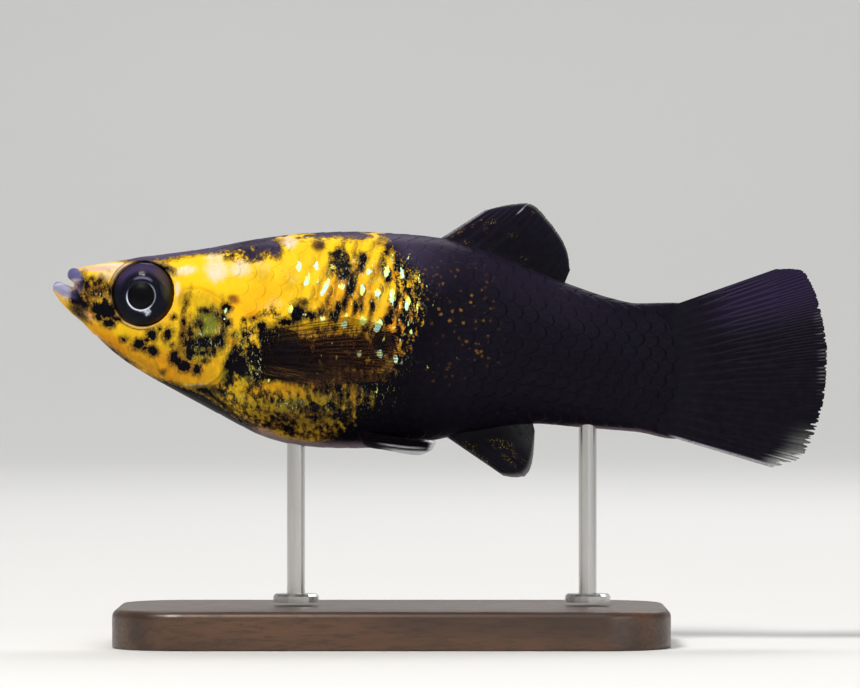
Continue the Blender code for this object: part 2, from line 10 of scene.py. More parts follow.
import bmesh
import bpy
import numpy as np
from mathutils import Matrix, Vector


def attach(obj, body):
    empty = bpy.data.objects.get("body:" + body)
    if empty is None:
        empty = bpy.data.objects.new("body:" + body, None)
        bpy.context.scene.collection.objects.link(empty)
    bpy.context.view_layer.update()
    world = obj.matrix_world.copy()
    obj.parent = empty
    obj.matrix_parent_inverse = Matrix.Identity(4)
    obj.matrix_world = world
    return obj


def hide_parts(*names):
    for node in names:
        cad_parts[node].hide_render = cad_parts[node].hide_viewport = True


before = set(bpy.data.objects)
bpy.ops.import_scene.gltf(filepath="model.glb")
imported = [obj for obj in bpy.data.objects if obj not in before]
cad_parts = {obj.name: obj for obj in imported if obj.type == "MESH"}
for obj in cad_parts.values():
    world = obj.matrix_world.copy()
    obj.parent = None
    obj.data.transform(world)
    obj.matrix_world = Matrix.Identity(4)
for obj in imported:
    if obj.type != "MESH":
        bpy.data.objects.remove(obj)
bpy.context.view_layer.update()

MM = 0.001
SIDES = ((-1, "left"), (1, "right"))
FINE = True

# The photograph's framing
PHOTO_WIDTH, PHOTO_HEIGHT = 860, 688
PIXELS_PER_MM = 12.0
VIEW_CENTRE_X, VIEW_CENTRE_Z = -0.8333, 25.0
LENS = 250.0
SENSOR = 36.0
CAMERA_DISTANCE = PHOTO_WIDTH / PIXELS_PER_MM * LENS / SENSOR

# Body outline, as in the solids
SNOUT_TIP_X = -32.25
BODY_END_X = 19.5
STALK_TIP_X = 21.0
BACK_LINE = (
    (SNOUT_TIP_X, 29.85), (-31.9, 30.0), (-31.2, 30.02), (-30.85, 30.1), (-30.5, 30.95),
    (-30.0, 31.35), (-28.3, 31.67), (-24.6, 32.25), (-19.6, 32.95), (-14.6, 33.85), (-11.0, 34.25),
    (-7.5, 34.38), (-3.3, 34.2), (0.0, 33.85), (2.5, 33.25), (5.0, 32.35), (7.5, 31.35),
    (10.0, 30.3), (12.0, 29.55), (14.2, 28.85), (16.5, 28.4), (BODY_END_X, 28.45),
    (STALK_TIP_X, 28.3),
)
BELLY_LINE = (
    (SNOUT_TIP_X, 29.45), (-31.7, 28.6), (-30.8, 27.65), (-29.8, 26.8), (-28.8, 25.75), (-26.8, 24.0),
    (-24.6, 22.55), (-22.1, 21.15), (-19.6, 19.8), (-17.1, 18.45), (-14.6, 17.25), (-12.1, 16.6),
    (-9.6, 16.35), (-7.1, 16.3), (-3.3, 16.5), (0.8, 17.25), (3.3, 17.8), (7.7, 18.35),
    (11.7, 18.05), (14.2, 17.85), (16.5, 17.65), (BODY_END_X, 17.1), (STALK_TIP_X, 17.2),
)
HALF_WIDTH = (
    (SNOUT_TIP_X, 0.35), (-31.9, 0.95), (-31.2, 1.4), (-30.0, 1.85), (-28.3, 2.35), (-26.5, 2.8),
    (-24.6, 3.15), (-22.1, 3.75), (-19.6, 4.3), (-16.0, 4.85), (-11.0, 5.15), (-6.0, 5.1),
    (-1.0, 4.65), (4.0, 3.85), (8.0, 3.1), (12.0, 2.4), (16.0, 1.65), (18.6, 0.95),
    (BODY_END_X, 0.7), (STALK_TIP_X, 0.12),
)
WIDEST_SHARE = ((SNOUT_TIP_X, 0.5), (-24.6, 0.55), (-14.0, 0.48), (0.0, 0.5), (BODY_END_X, 0.52))
BACK_FULLNESS = (
    (SNOUT_TIP_X, 2.3), (-28.0, 3.6), (-23.0, 4.0), (-17.0, 2.7), (-8.0, 2.2), (BODY_END_X, 2.1),
)
BELLY_FULLNESS = ((SNOUT_TIP_X, 2.0), (-25.0, 2.0), (-12.0, 2.15), (0.0, 2.0), (BODY_END_X, 2.0))

# Mouth, eyes, nostrils and gill covers, as in the solids
MOUTH_CORNER = (-29.75, 29.55)
MOUTH_FACE_X = -30.4
UPPER_LIP = ((-29.55, 1.75, 29.75), (-30.0, 1.55, 30.25), (-30.4, 0.95, 30.68), (-30.52, 0.0, 30.8))
UPPER_LIP_RADIUS = 0.54
LOWER_LIP = ((-29.95, 1.7, 29.15), (-30.8, 1.4, 29.4), (-31.5, 0.8, 29.68), (-31.83, 0.0, 29.78))
LOWER_LIP_RADIUS = 0.42
EYE_CENTRE = (-24.67, 2.55, 29.25)
EYE_FORESHORTENED = 0.985  # by its turn towards the front
EYE_SHIFT = (0.1, -0.1)  # aft and up, to where the photograph has it
EYE_RADIUS = 2.66
EYE_DEPTH = 1.3
EYE_TOE_DEG = 10.0
EYE_TILT_DEG = 5.0
NOSTRIL_CENTRES = ((-28.15, 30.72), (-27.5, 30.98))

# Skin mesh
SQUEEZE_FROM_X = -16.0  # behind this the skin is remeshed at a third of its length
SQUEEZE = 3.0
VOXEL = 0.105 if FINE else 0.16
SCALE_BED = 0.17  # how deep the skin lies under the scales

# Scales
SCALE_PITCH = 1.4
ROW_PITCH = 1.45
SCALE_REACH = 0.72  # of a pitch, from a scale's middle to its hind edge
SCALE_ROOT = 1.15  # of a pitch, from a scale's middle to its hidden root
SCALE_BREADTH = 2.34
SCALE_RISE = 0.15
SCALE_THICKNESS = 0.05
SCALE_GRID = (10, 11) if FINE else (6, 7)
MARKED_SCALE_GRID = (22, 23) if FINE else (9, 10)  # of the scales that carry markings
MARKED_TO_X = 1.5
MOST_TRIANGLES = 190000
SCALES_END_X = 19.3
BAKE_PATCH = 0.003

# Fins, as in the solids: guide rays from the leading edge to the trailing one
TAIL_FIN_GUIDES = (
    (0.0, 18.9, 28.05, 28.4, 31.4), (0.08, 18.9, 27.2, 30.1, 31.2), (0.18, 18.9, 26.15, 31.15, 29.7),
    (0.34, 18.9, 24.5, 31.85, 27.3), (0.5, 18.9, 22.85, 32.25, 24.4), (0.66, 18.9, 21.2, 32.05, 21.0),
    (0.8, 18.9, 19.7, 31.35, 17.9), (0.9, 18.9, 18.55, 30.3, 15.75), (1.0, 18.9, 17.35, 28.3, 14.5),
)
BACK_FIN_GUIDES = (
    (0.0, -0.9, 33.2, 4.1, 36.4), (0.25, 2.4, 32.4, 7.2, 36.75), (0.5, 5.1, 31.4, 9.2, 35.1),
    (0.75, 7.7, 30.3, 10.55, 32.9), (1.0, 10.1, 29.4, 10.9, 31.3),
)
ANAL_FIN_GUIDES = (
    (0.0, -0.4, 17.9, 5.6, 13.8), (0.25, 2.2, 18.4, 7.0, 13.95), (0.5, 4.2, 18.7, 7.7, 15.2),
    (0.75, 6.0, 18.9, 7.85, 16.6), (1.0, 7.6, 19.0, 7.9, 17.75),
)
PECTORAL_GUIDES = (
    (0.0, -14.9, 26.2, -7.5, 27.25), (0.25, -15.0, 25.3, -4.2, 26.4), (0.5, -15.1, 24.4, -3.3, 24.5),
    (0.75, -15.1, 23.5, -4.6, 22.1), (1.0, -15.0, 22.6, -10.1, 21.5),
)
PELVIC_GUIDES = (
    (0.0, -6.6, 34.0, -1.4, 30.0), (0.3, -6.4, 27.0, -0.35, 25.0), (0.65, -6.1, 18.0, -0.6, 16.0),
    (1.0, -5.8, 10.0, -1.6, 7.0),
)
TAIL_FIN_WAVE, TAIL_FIN_WAVES, TAIL_FIN_PHASE = 0.45, 1.1, 0.5
BACK_FIN_LEAN, ANAL_FIN_LEAN, LEAN_POWER = 0.35, -0.2, 1.5
PECTORAL_STAND_OFF, PECTORAL_SPREAD_POWER = (0.1, 1.9), 0.8
PECTORAL_ROOT_DEPTH = 0.6
PELVIC_STAND_OFF = (-0.04, 1.05)


def smooth(points, at):
    """Reads rows of (place, value, ...) at any places, as a curve that never overshoots its rows."""
    rows = np.array(points, float)
    x, y = rows[:, 0], rows[:, 1:]
    step = np.diff(x)[:, None]
    slope = np.diff(y, axis=0) / step
    bend = np.zeros_like(y)
    same_way = slope[:-1] * slope[1:] > 0
    before, after = step[:-1], step[1:]
    weight_a, weight_b = 2 * after + before, after + 2 * before
    with np.errstate(divide="ignore", invalid="ignore"):
        mean = (weight_a + weight_b) / (weight_a / slope[:-1] + weight_b / slope[1:])
    bend[1:-1] = np.where(same_way, mean, 0.0)
    bend[0], bend[-1] = slope[0], slope[-1]
    at = np.clip(np.asarray(at, float), x[0], x[-1])
    i = np.clip(np.searchsorted(x, at, side="right") - 1, 0, len(x) - 2)
    h = (x[i + 1] - x[i])[..., None]
    t = ((at - x[i]) / (x[i + 1] - x[i]))[..., None]
    value = (
        (1 + 2 * t) * (1 - t) ** 2 * y[i]
        + t * (1 - t) ** 2 * h * bend[i]
        + t * t * (3 - 2 * t) * y[i + 1]
        + t * t * (t - 1) * h * bend[i + 1]
    )
    return value[..., 0] if value.shape[-1] == 1 else value


def ease(low, high, value):
    """0 below low, 1 above high and a soft step between; low may be the larger."""
    t = np.clip((value - low) / (high - low), 0.0, 1.0)
    return t * t * (3 - 2 * t)


def section_half(x, z):
    """How high z lies in its half of the section at x, from -1 to 1, and that half's fullness."""
    top, bottom = smooth(BACK_LINE, x), smooth(BELLY_LINE, x)
    widest = bottom + (top - bottom) * smooth(WIDEST_SHARE, x)
    above = z >= widest
    fullness = np.where(above, smooth(BACK_FULLNESS, x), smooth(BELLY_FULLNESS, x))
    rise = np.where(above, top - widest, widest - bottom)
    return (z - widest) / rise, fullness


def body_section(x, turn_deg, grow=0.0):
    """(y, z) on the body at x. The turn is 0 on the right flank, 90 on the back and 270 on the belly."""
    top = smooth(BACK_LINE, x) + grow
    bottom = smooth(BELLY_LINE, x) - grow
    width = smooth(HALF_WIDTH, x) + grow
    widest = bottom + (top - bottom) * smooth(WIDEST_SHARE, x)
    angle = np.radians(turn_deg)
    across, up = np.cos(angle), np.sin(angle)
    fullness = np.where(up >= 0, smooth(BACK_FULLNESS, x), smooth(BELLY_FULLNESS, x))
    y = width * np.sign(across) * np.abs(across) ** (2 / fullness)
    rise = np.where(up >= 0, top - widest, widest - bottom)
    z = widest + rise * np.sign(up) * np.abs(up) ** (2 / fullness)
    return y, z


class Girth:
    """Arc lengths round half of the body, for places given by x and by distance from mid flank."""

    X = np.linspace(SNOUT_TIP_X + 0.05, STALK_TIP_X, 400)
    TURNS = np.linspace(-90.0, 90.0, 361)
    SHARES = np.linspace(-1.0, 1.0, 241)

    def __init__(self):
        y, z = body_section(self.X[:, None], self.TURNS[None, :])
        steps = np.hypot(np.diff(y, axis=1), np.diff(z, axis=1))
        arc = np.concatenate([np.zeros((len(self.X), 1)), np.cumsum(steps, axis=1)], axis=1)
        arc -= arc[:, [len(self.TURNS) // 2]]
        self.up, self.down = arc[:, -1], -arc[:, 0]
        share = np.where(arc >= 0, arc / self.up[:, None], arc / self.down[:, None])
        self.share_table = share
        self.turn_table = np.array([np.interp(self.SHARES, row, self.TURNS) for row in share])

    def read(self, table, columns, x, at):
        """Reads a table by x and by one of its even column scales."""
        i = np.clip((x - self.X[0]) / (self.X[1] - self.X[0]), 0, len(self.X) - 1.001)
        j = np.clip((at - columns[0]) / (columns[1] - columns[0]), 0, len(columns) - 1.001)
        a, b = i.astype(int), j.astype(int)
        s, t = i - a, j - b
        near = table[a, b] * (1 - t) + table[a, b + 1] * t
        far = table[a + 1, b] * (1 - t) + table[a + 1, b + 1] * t
        return near * (1 - s) + far * s

    def length(self, x, upper=True):
        return np.interp(x, self.X, self.up if upper else self.down)

    def turn(self, x, share):
        return self.read(self.turn_table, self.SHARES, x, share)

    def share(self, x, y, z):
        """Where points near the skin lie round the flank: -1 on the belly, 0 mid flank, 1 on the back."""
        height, fullness = section_half(x, z)
        up = np.abs(height) ** (fullness / 2)
        across = np.abs(y / smooth(HALF_WIDTH, x)) ** (fullness / 2)
        turn = np.degrees(np.arctan2(up, across)) * np.where(height >= 0, 1, -1)
        return self.read(self.share_table, self.TURNS, x, turn)


girth = Girth()


def add_object(name, data):
    """A new object with its data, linked into the scene."""
    made = bpy.data.objects.new(name, data)
    bpy.context.scene.collection.objects.link(made)
    return made


def rim_of_grid(rows, columns):
    """The points round the edge of a grid, in order."""
    total = rows * columns
    rim = [*range(columns), *range(2 * columns - 1, total, columns)]
    rim += [*range(total - 2, total - columns - 1, -1), *range(total - 2 * columns, 0, -columns)]
    return np.array(rim)


def bump_of(distance, width):
    """1 at no distance, and a soft fall to nothing some widths away."""
    return np.exp(-((distance / width) ** 2))


def mesh_piece(name, points, faces, look, values=None, uv=None, nodes=(), sharp=None):
    """A smooth mesh that rides on the fish. points are in millimetres, and values hold a number a point.

    faces is an array, or a list of arrays whose faces differ in their number of corners.
    """
    groups = faces if isinstance(faces, list) else [faces]
    corners = np.concatenate([np.asarray(group, np.int32).ravel() for group in groups])
    sizes = np.concatenate([np.full(len(group), group.shape[1], np.int32) for group in groups])
    mesh = bpy.data.meshes.new(name)
    mesh.vertices.add(len(points))
    mesh.vertices.foreach_set("co", (np.asarray(points) * MM).astype(np.float32).ravel())
    mesh.loops.add(len(corners))
    mesh.loops.foreach_set("vertex_index", corners)
    mesh.polygons.add(len(sizes))
    mesh.polygons.foreach_set("loop_start", np.cumsum(sizes, dtype=np.int32) - sizes)
    mesh.update(calc_edges=True)
    mesh.shade_smooth()
    if sharp is not None:
        mesh.attributes.new("sharp_face", "BOOLEAN", "FACE").data.foreach_set("value", sharp)
    for key, numbers in (values or {}).items():
        layer = mesh.attributes.new(key, "FLOAT", "POINT")
        layer.data.foreach_set("value", np.asarray(numbers, np.float32))
    if uv is not None:
        layer = mesh.uv_layers.new(name="OFBake")
        layer.data.foreach_set("uv", uv[corners].astype(np.float32).ravel())
    mesh.materials.append(look)
    piece = add_object(name, mesh)
    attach(piece, "root")
    if nodes:
        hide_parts(*nodes)
    return piece


def grid_faces(rows, columns, closed=False):
    """Quads between rows of points that are numbered row by row."""
    i, j = np.meshgrid(np.arange(rows - 1), np.arange(columns if closed else columns - 1), indexing="ij")
    k = (j + 1) % columns
    corners = (i * columns + j, i * columns + k, (i + 1) * columns + k, (i + 1) * columns + j)
    return np.stack(corners, axis=-1).reshape(-1, 4)


# Markings: soft ellipses on the left flank, in the photograph's pixels
# x, y, half length, half height, lean, strength

DARK_MARKS = (
    # chin and cheek, in front of and below the eye
    (76.5, 299, 6, 10, -22), (84, 305, 6, 4.6, 20), (98, 309, 7, 6, 12), (107, 311, 8.5, 7.5, 12),
    (109, 323, 5.5, 3.8, 10), (99, 317, 5, 3, 25), (117, 319, 4, 2.4, 15), (80, 314, 7, 2.4, 42),
    (82, 282, 3.4, 7, 8), (86, 284, 3, 4, 0), (89, 295, 3, 4, 0), (96, 285, 2.4, 2.4, 0),
    (104, 288, 4.5, 3, -20), (108, 291, 2.6, 3.4, 0), (91, 279, 1.8, 1.6, 0), (100, 296, 4, 3, 0),
    (93, 291, 2, 3, 0), (101, 280, 1.6, 1.4, 0), (78, 309, 6, 3.4, 40), (152, 335, 5, 5.5, 0),
    (167.5, 334.5, 4, 5.8, 30), (139, 344, 7, 4.5, -15), (147, 340, 3, 3, 0), (152, 350.5, 5.5, 4.5, 25),
    (145, 348, 3, 2.5, 0), (124, 339, 2.4, 1.8, 0), (174, 317, 1.6, 1.4, 0), (159.5, 329, 1.3, 1.2, 0),
    (174, 357, 4, 6, 15), (184.5, 366, 7, 5.5, 0), (178, 361, 4, 4, 0), (197.5, 369.5, 4.2, 5.2, 15),
    (203.5, 361, 3.6, 1.8, -8), (113, 352, 9, 2.2, 38), (126, 361, 7, 1.8, 35), (165, 268, 7, 2.2, 28),
    (186, 304, 1.3, 5, 18), (184, 322, 2.2, 3.4, 0), (182.5, 335, 1.5, 4, 10), (184, 345, 1.4, 5, -12),
    (172, 345, 1.2, 1, 0), (163, 372, 1.2, 1, 0),
    # gill cover and the skin behind it
    (198, 321, 2.4, 5, 15), (206, 311, 4, 1.6, 10), (216, 314, 2, 4, -20), (201, 327, 1.6, 3, 0),
    (189, 341, 4, 17, 0), (203, 343, 18, 6.5, -3), (190, 352, 5, 8, 0), (219, 341, 6, 7.5, 0),
    (212, 351, 8, 3.4, -20), (223, 330, 2.6, 10, 0), (226, 308, 4.5, 4, 0), (223, 318, 2.6, 9, 0),
    (227.5, 323, 3.6, 3.2, 0), (232, 335, 1.6, 1.4, 0), (207, 353, 9, 3.2, -6), (231, 373, 4, 12, 12),
    (236, 355, 7, 11, 25), (230, 365, 5, 8, 10), (241, 349, 3.4, 5, 0), (250, 349, 2.4, 6, 0),
    (227, 384, 6, 4, -30), (222, 392, 9, 4, 20), (206, 391, 9, 2.6, 10), (214, 397, 8, 3, 25),
    (242, 344, 1.8, 3, 0), (247, 336, 1.4, 3, 0), (253, 359, 4, 7, 0),
    # shoulder and root of the breast fin
    (267, 350, 8, 20, 0), (264, 333, 7, 5, 0), (240, 362, 9, 10, 0), (240, 372, 8, 7, 0),
    (232, 381, 6, 3, -35), (283, 334, 13, 6, 15), (281, 358, 21, 20, 0), (261, 362, 7, 15, 0),
    (300, 357, 18, 18, 0), (255, 374, 5, 6, 0), (256.5, 317, 5.5, 1.3, -28), (244, 320, 1.2, 1, 0),
    (274, 314.5, 2, 1.7, 0), (262, 326, 6, 3.6, 0), (286, 322.5, 8, 3.4, -6),
    # flank, in the order of the rows of scales
    (319, 244, 3, 2.4, 20), (332, 254, 1.3, 1.2, 0), (387.5, 245, 2, 1.3, 0), (386.5, 252.7, 1.4, 1.4, 0),
    (339.5, 256, 4.6, 7, 0), (342, 265, 8.5, 5.5, 0), (347, 274, 7, 6, 0), (351, 285, 4.6, 8, 0),
    (361, 259, 4.4, 5, 0), (360, 266, 3.4, 4, 0), (333, 270, 2.4, 4, 0), (389.5, 277, 2, 3.5, 0),
    (384, 268, 1.6, 4, 0), (410, 290, 8, 5, 0), (401, 294, 3.2, 2.4, 0), (410, 276, 1.7, 4.5, 0),
    (399, 267, 2.8, 6, 0), (297.5, 313.5, 6, 9, 8), (310.5, 316, 5, 4.2, 0), (302, 303, 3, 2.4, 0),
    (333, 316, 6, 4.6, 0), (321, 312, 2, 2.2, 0), (337, 307, 2.4, 3, 0), (345, 304, 1.4, 3, 0),
    (357, 303, 1.6, 3.6, 0), (362, 309, 1.6, 2, 0), (388, 321, 4, 4.5, 0), (395.5, 320.5, 3, 3.4, 0),
    (410.5, 330, 5, 10, 0), (404, 318, 2.2, 3, 0), (419, 296, 3, 6, 0), (372, 303, 1.6, 3, 0),
    (398, 290, 1.8, 5, 0), (414, 313, 2.6, 5, 0), (391, 336, 6, 2.6, 0), (330, 352, 26, 15, 0),
    (362, 356, 26, 17, 0), (345, 340, 20, 5, -4), (384, 346, 13, 15, 0), (320, 377, 36, 9, 2),
    (352, 379, 30, 11, 0), (368, 386, 16, 12, 0), (405, 358, 7, 8, 0), (330, 388, 22, 8, 4),
    (352, 398, 16, 9, 0), (290, 377, 18, 5, 6), (273, 373, 11, 7, 0), (312, 383, 10, 4, 10),
    (372, 390, 9, 12, 0), (306, 378, 22, 6, 8),
    # belly
    (234, 399, 3, 6, 30), (245, 405, 3, 4, 0), (257, 420, 6, 4.5, 10), (265, 424, 5, 3, 0),
    (289, 430, 9, 4.5, 12), (318, 417, 10, 3.2, 0), (312, 404, 4.4, 5, 0), (280, 416, 6, 3.6, 0),
    (300, 408, 4, 3, 0), (333, 407, 6, 9, 0), (341, 415, 10, 9, 0), (330, 436, 8, 4, 0),
    (309, 433, 5, 3, 0), (247, 390, 4, 3, 0), (222, 403, 8, 2.6, 35), (363, 410, 5, 8, 0),
    (365, 397, 3, 8, 0), (343, 396, 3, 6, 0), (330, 393, 4, 5, 0), (268, 411, 3, 3, 0),
    # blotches of the back behind the nape
    (230, 255, 4.5, 4.5, 0), (240, 254, 3.5, 5, 0), (250, 253, 8, 8, 0), (266, 246, 13, 6, -8),
    (276, 250, 5, 7, 0), (226, 251, 4, 3, 0), (258, 257, 3, 2.4, 0),
)
GOLD_MARKS = (
    (90, 315, 3.4, 3.6, 30), (94, 298, 4, 1.8, 10), (86, 300, 2, 1.4, 0), (150, 343, 2.2, 2, 0),
    (107, 297, 2.4, 4, 0), (253, 250, 2, 2.4, 0), (236, 257, 2, 2, 0), (419, 305, 1.8, 7, 0),
    (416, 279, 1.4, 6, 0), (411, 318, 3, 3.4, 0), (402, 331, 2.8, 8.5, 0), (400, 304, 3, 4, 0),
    (394.5, 275, 3, 8.5, 0), (422, 285, 1.4, 5, 0), (231, 341, 3.4, 4, 0), (350, 304.5, 1.5, 6, 22),
    (369, 311, 5, 2, -35), (352.5, 389, 4.6, 4, 0), (353.7, 403, 2, 8, 0), (300.5, 420, 2.8, 8, 0),
    (320, 424, 7, 2.8, 0), (323.5, 434, 3.4, 2.6, 0), (338, 428, 5, 1.5, -30), (372, 398, 1.6, 6, 0),
    (387, 360, 2, 6, 0), (396, 372, 1.2, 3, 0), (308, 335, 8, 1.4, -16), (368, 361, 2.6, 2.4, 0),
    (384, 366, 2, 3.4, 0), (330, 345, 1.8, 1.2, 0), (345, 352, 2, 1.2, 0), (361, 352, 1.6, 2, 0),
    (377, 353, 2, 2.4, 0), (411, 347, 1.6, 4, 0), (404, 352, 1.4, 3, 0), (417, 332, 1.3, 5, 0),
)
MOTTLE_MARKS = (
    (300, 415, 84, 26, 8, 0.97), (245, 396, 34, 22, 25, 0.85), (274, 309, 20, 9, -30, 0.35),
    (240, 378, 16, 14, 0, 0.9), (252, 362, 20, 26, 10, 0.85), (350, 385, 48, 22, 0, 0.95),
    (98, 291, 15, 12, 0, 0.95), (206, 322, 14, 16, 0, 0.35), (345, 345, 66, 26, 0, 0.9),
    (406, 304, 22, 50, 0, 1.0), (190, 345, 6, 20, 0, 0.6), (206, 318, 17, 12, 0, 0.4),
    (200, 350, 18, 10, 0, 0.85), (96, 299, 16, 7, 12, 1.0), (200, 408, 35, 12, 25, 0.8),
    (247, 252, 30, 11, 0, 0.75), (350, 300, 52, 14, 0, 0.25), (345, 270, 20, 20, 0, 0.5),
    (246, 335, 12, 14, 0, 0.75), (330, 240, 40, 6, 0, 0.4),
)
ORANGE_MARKS = (
    (165, 366, 62, 17, 20, 0.7), (110, 340, 34, 9, 38, 0.8), (262, 300, 42, 20, -8, 0.3),
    (160, 318, 22, 8, 0, 0.3), (90, 315, 5, 5, 20, 1.0), (388, 245, 14, 10, 0, 0.25),
    (345, 300, 40, 30, 0, 0.55), (285, 393, 48, 14, 4, 0.6), (330, 392, 30, 12, 0, 0.9),
    (330, 345, 60, 20, 0, 0.8), (400, 330, 22, 40, 0, 0.9), (120, 282, 10, 20, 0, 0.3),
    (338, 300, 10, 8, 0, 0.8), (394.5, 275, 5, 10, 0, 0.9), (355, 398, 9, 16, 0, 0.9),
    (235, 300, 8, 7, 0, 0.8), (377, 270, 5, 9, 0, 0.5), (360, 270, 7, 8, 0, 0.8),
    (325, 296, 8, 8, 0, 0.5), (200, 372, 26, 12, -20, 0.4), (232, 342, 6, 6, 0, 0.7),
    (252, 315, 12, 5, -25, 0.7),
)
# pale cream and whitish patches; the two beside the eye, at 186, 271 and 177.5, 289, are painted highlights
# of the wet skin
PALE_AND_HIGHLIGHT_MARKS = (
    (186, 271, 14, 6, -8, 0.8), (177.5, 289, 3.4, 9, 0, 0.95), (215, 256, 14, 6, -5, 0.75),
    (216, 270, 14, 16, 0, 0.95), (240, 268, 14, 12, 0, 0.75), (290, 243, 9, 8, 0, 0.9),
    (112, 267, 26, 6, -6, 0.9), (108, 275, 16, 7, -4, 0.75), (262, 268, 10, 12, 0, 0.35),
    (196, 384.5, 20, 1.6, -4, 0.7), (170, 276, 5, 3, 0, 0.5), (229.5, 315, 1.3, 4, 40, 0.8),
    (250.5, 335.5, 1.4, 4.4, 25, 0.95), (254.8, 337, 1.2, 2.6, 0, 0.8), (283, 320, 3.6, 3, 0, 0.8),
    (390, 239, 5, 4, 0, 0.5), (393, 260, 2, 4, 0, 0.7), (354, 259, 2, 4, 15, 0.6),
    (272, 305, 14, 9, -30, 0.3), (292, 275, 8, 10, 0, 0.3), (106, 292, 2, 5, 10, 0.3),
    (112, 276, 8, 4, 0, 0.35),
)
FLESH_MARKS = (
    (98, 268.5, 22, 3.2, -3, 0.95), (130, 266, 16, 2.6, -14, 0.9), (62, 293, 13, 6, 40, 0.9),
    (75, 284, 4, 6, 0, 0.9), (152, 262, 14, 2.6, 6, 0.7), (84, 312, 16, 3, 40, 0.6),
    (258, 427, 28, 4.5, 24, 0.8), (274, 343.5, 5, 4, 0, 0.2), (286, 240, 8, 4, 0, 0.5),
    (112.5, 300, 2.2, 18, -6, 0.35),
)
GREEN_MARKS = (
    (208, 322, 17, 19, 0, 1.0), (202, 340, 17, 14, 0, 1.0), (200, 352, 17, 8, 0, 1.0),
    (228, 374, 8, 14, 12, 0.9), (210, 391, 22, 6, 12, 0.6), (252, 368, 20, 20, 0, 0.95),
    (300, 412, 75, 18, 8, 0.5), (206, 312, 6, 6, 0, 0.5), (292, 404, 18, 8, 0, 0.85),
    (330, 402, 30, 16, 0, 0.5), (223, 330, 6, 20, 0, 0.6), (380, 393, 24, 18, 0, 0.7),
    (240, 340, 8, 14, 0, 0.5), (196, 322, 6, 12, 0, 0.5),
)
RUST_MARKS = (
    (233, 299, 7, 5, 20, 0.85), (183, 330, 5, 26, 2, 0.75), (95, 291, 20, 12, 0, 0.85),
    (84, 303, 14, 11, 12, 0.9), (100, 280, 12, 6, 0, 0.4), (76, 312, 14, 4, 42, 0.8),
    (346, 276, 9, 9, 0, 0.9), (345, 262, 9, 10, 0, 0.6), (375, 372, 50, 18, 0, 0.85),
    (300, 424, 70, 18, 10, 0.6), (180, 352, 8, 12, 10, 0.6), (345, 350, 50, 16, 0, 0.7),
    (409, 277, 6, 9, 0, 0.7), (318.5, 245.5, 8, 7, 0, 0.8), (182, 298, 5, 12, 10, 0.45),
    (343, 297, 6, 5, 0, 0.3), (60, 292, 7, 2.2, 40, 0.7), (359, 306, 5, 5, 0, 0.35),
    (377, 305, 5, 6, 0, 0.3), (392.5, 314, 4, 6, 0, 0.85), (361, 268, 6, 7, 0, 0.7),
    (410, 316, 5, 6, 0, 0.7), (386, 285, 3, 7, 0, 0.6), (302, 301, 6, 5, 0, 0.6),
    (325, 272, 3, 9, 0, 0.4), (170, 268, 8, 3, 20, 0.8), (116, 318, 4, 4, 0, 0.7),
    (309, 378, 14, 5, 10, 0.6), (160, 325, 26, 2.6, -4, 0.3), (381, 264, 3, 8, 0, 0.4),
    (250, 349, 3, 7, 0, 0.7),
)
# olive-brown tint; on the lower head and below the gill cover it is partly painted shade
OLIVE_MARKS = (
    (250, 398, 34, 20, 24, 0.7), (310, 412, 56, 24, 6, 0.95), (200, 345, 24, 16, 0, 0.7),
    (205, 300, 26, 12, 0, 0.35), (340, 390, 60, 22, 0, 1.0), (250, 360, 22, 24, 0, 0.75),
    (290, 386, 26, 10, 0, 0.55), (345, 345, 66, 24, 0, 0.8), (290, 280, 12, 14, 0, 0.25),
    (375, 275, 8, 14, 0, 0.35), (190, 340, 10, 16, 0, 0.4), (214, 362, 20, 20, 0, 0.45),
    (229, 374, 8, 16, 12, 0.95), (208, 391, 24, 7, 12, 0.9), (165, 345, 14, 10, 0, 0.4),
    (352, 300, 44, 10, 0, 0.2), (318, 246, 9, 8, 0, 0.6), (262, 276, 14, 8, 0, 0.25),
    (100, 290, 20, 16, 0, 0.6),
)
# the same, for the small orange dots behind the gold, and where the black thins out softly
FLECK_MARKS = (
    (460, 305, 38, 44, 0, 1.0), (470, 345, 32, 34, 0, 0.7), (430, 280, 22, 22, 0, 0.8),
    (440, 372, 18, 16, 0, 0.5),
)
SOFT_MARKS = (
    (300, 415, 90, 30, 8, 1.0), (242, 394, 34, 20, 28, 0.9), (345, 388, 62, 22, 0, 0.9),
    (247, 254, 34, 12, 0, 0.9), (98, 287, 22, 20, 0, 0.35), (84, 312, 14, 6, 40, 0.9),
    (318.5, 245, 10, 9, 0, 1.0), (345, 268, 20, 20, 0, 0.6), (206, 330, 20, 30, 0, 0.5),
    (352, 300, 60, 22, 0, 0.5), (330, 237, 60, 7, 0, 0.5),
)
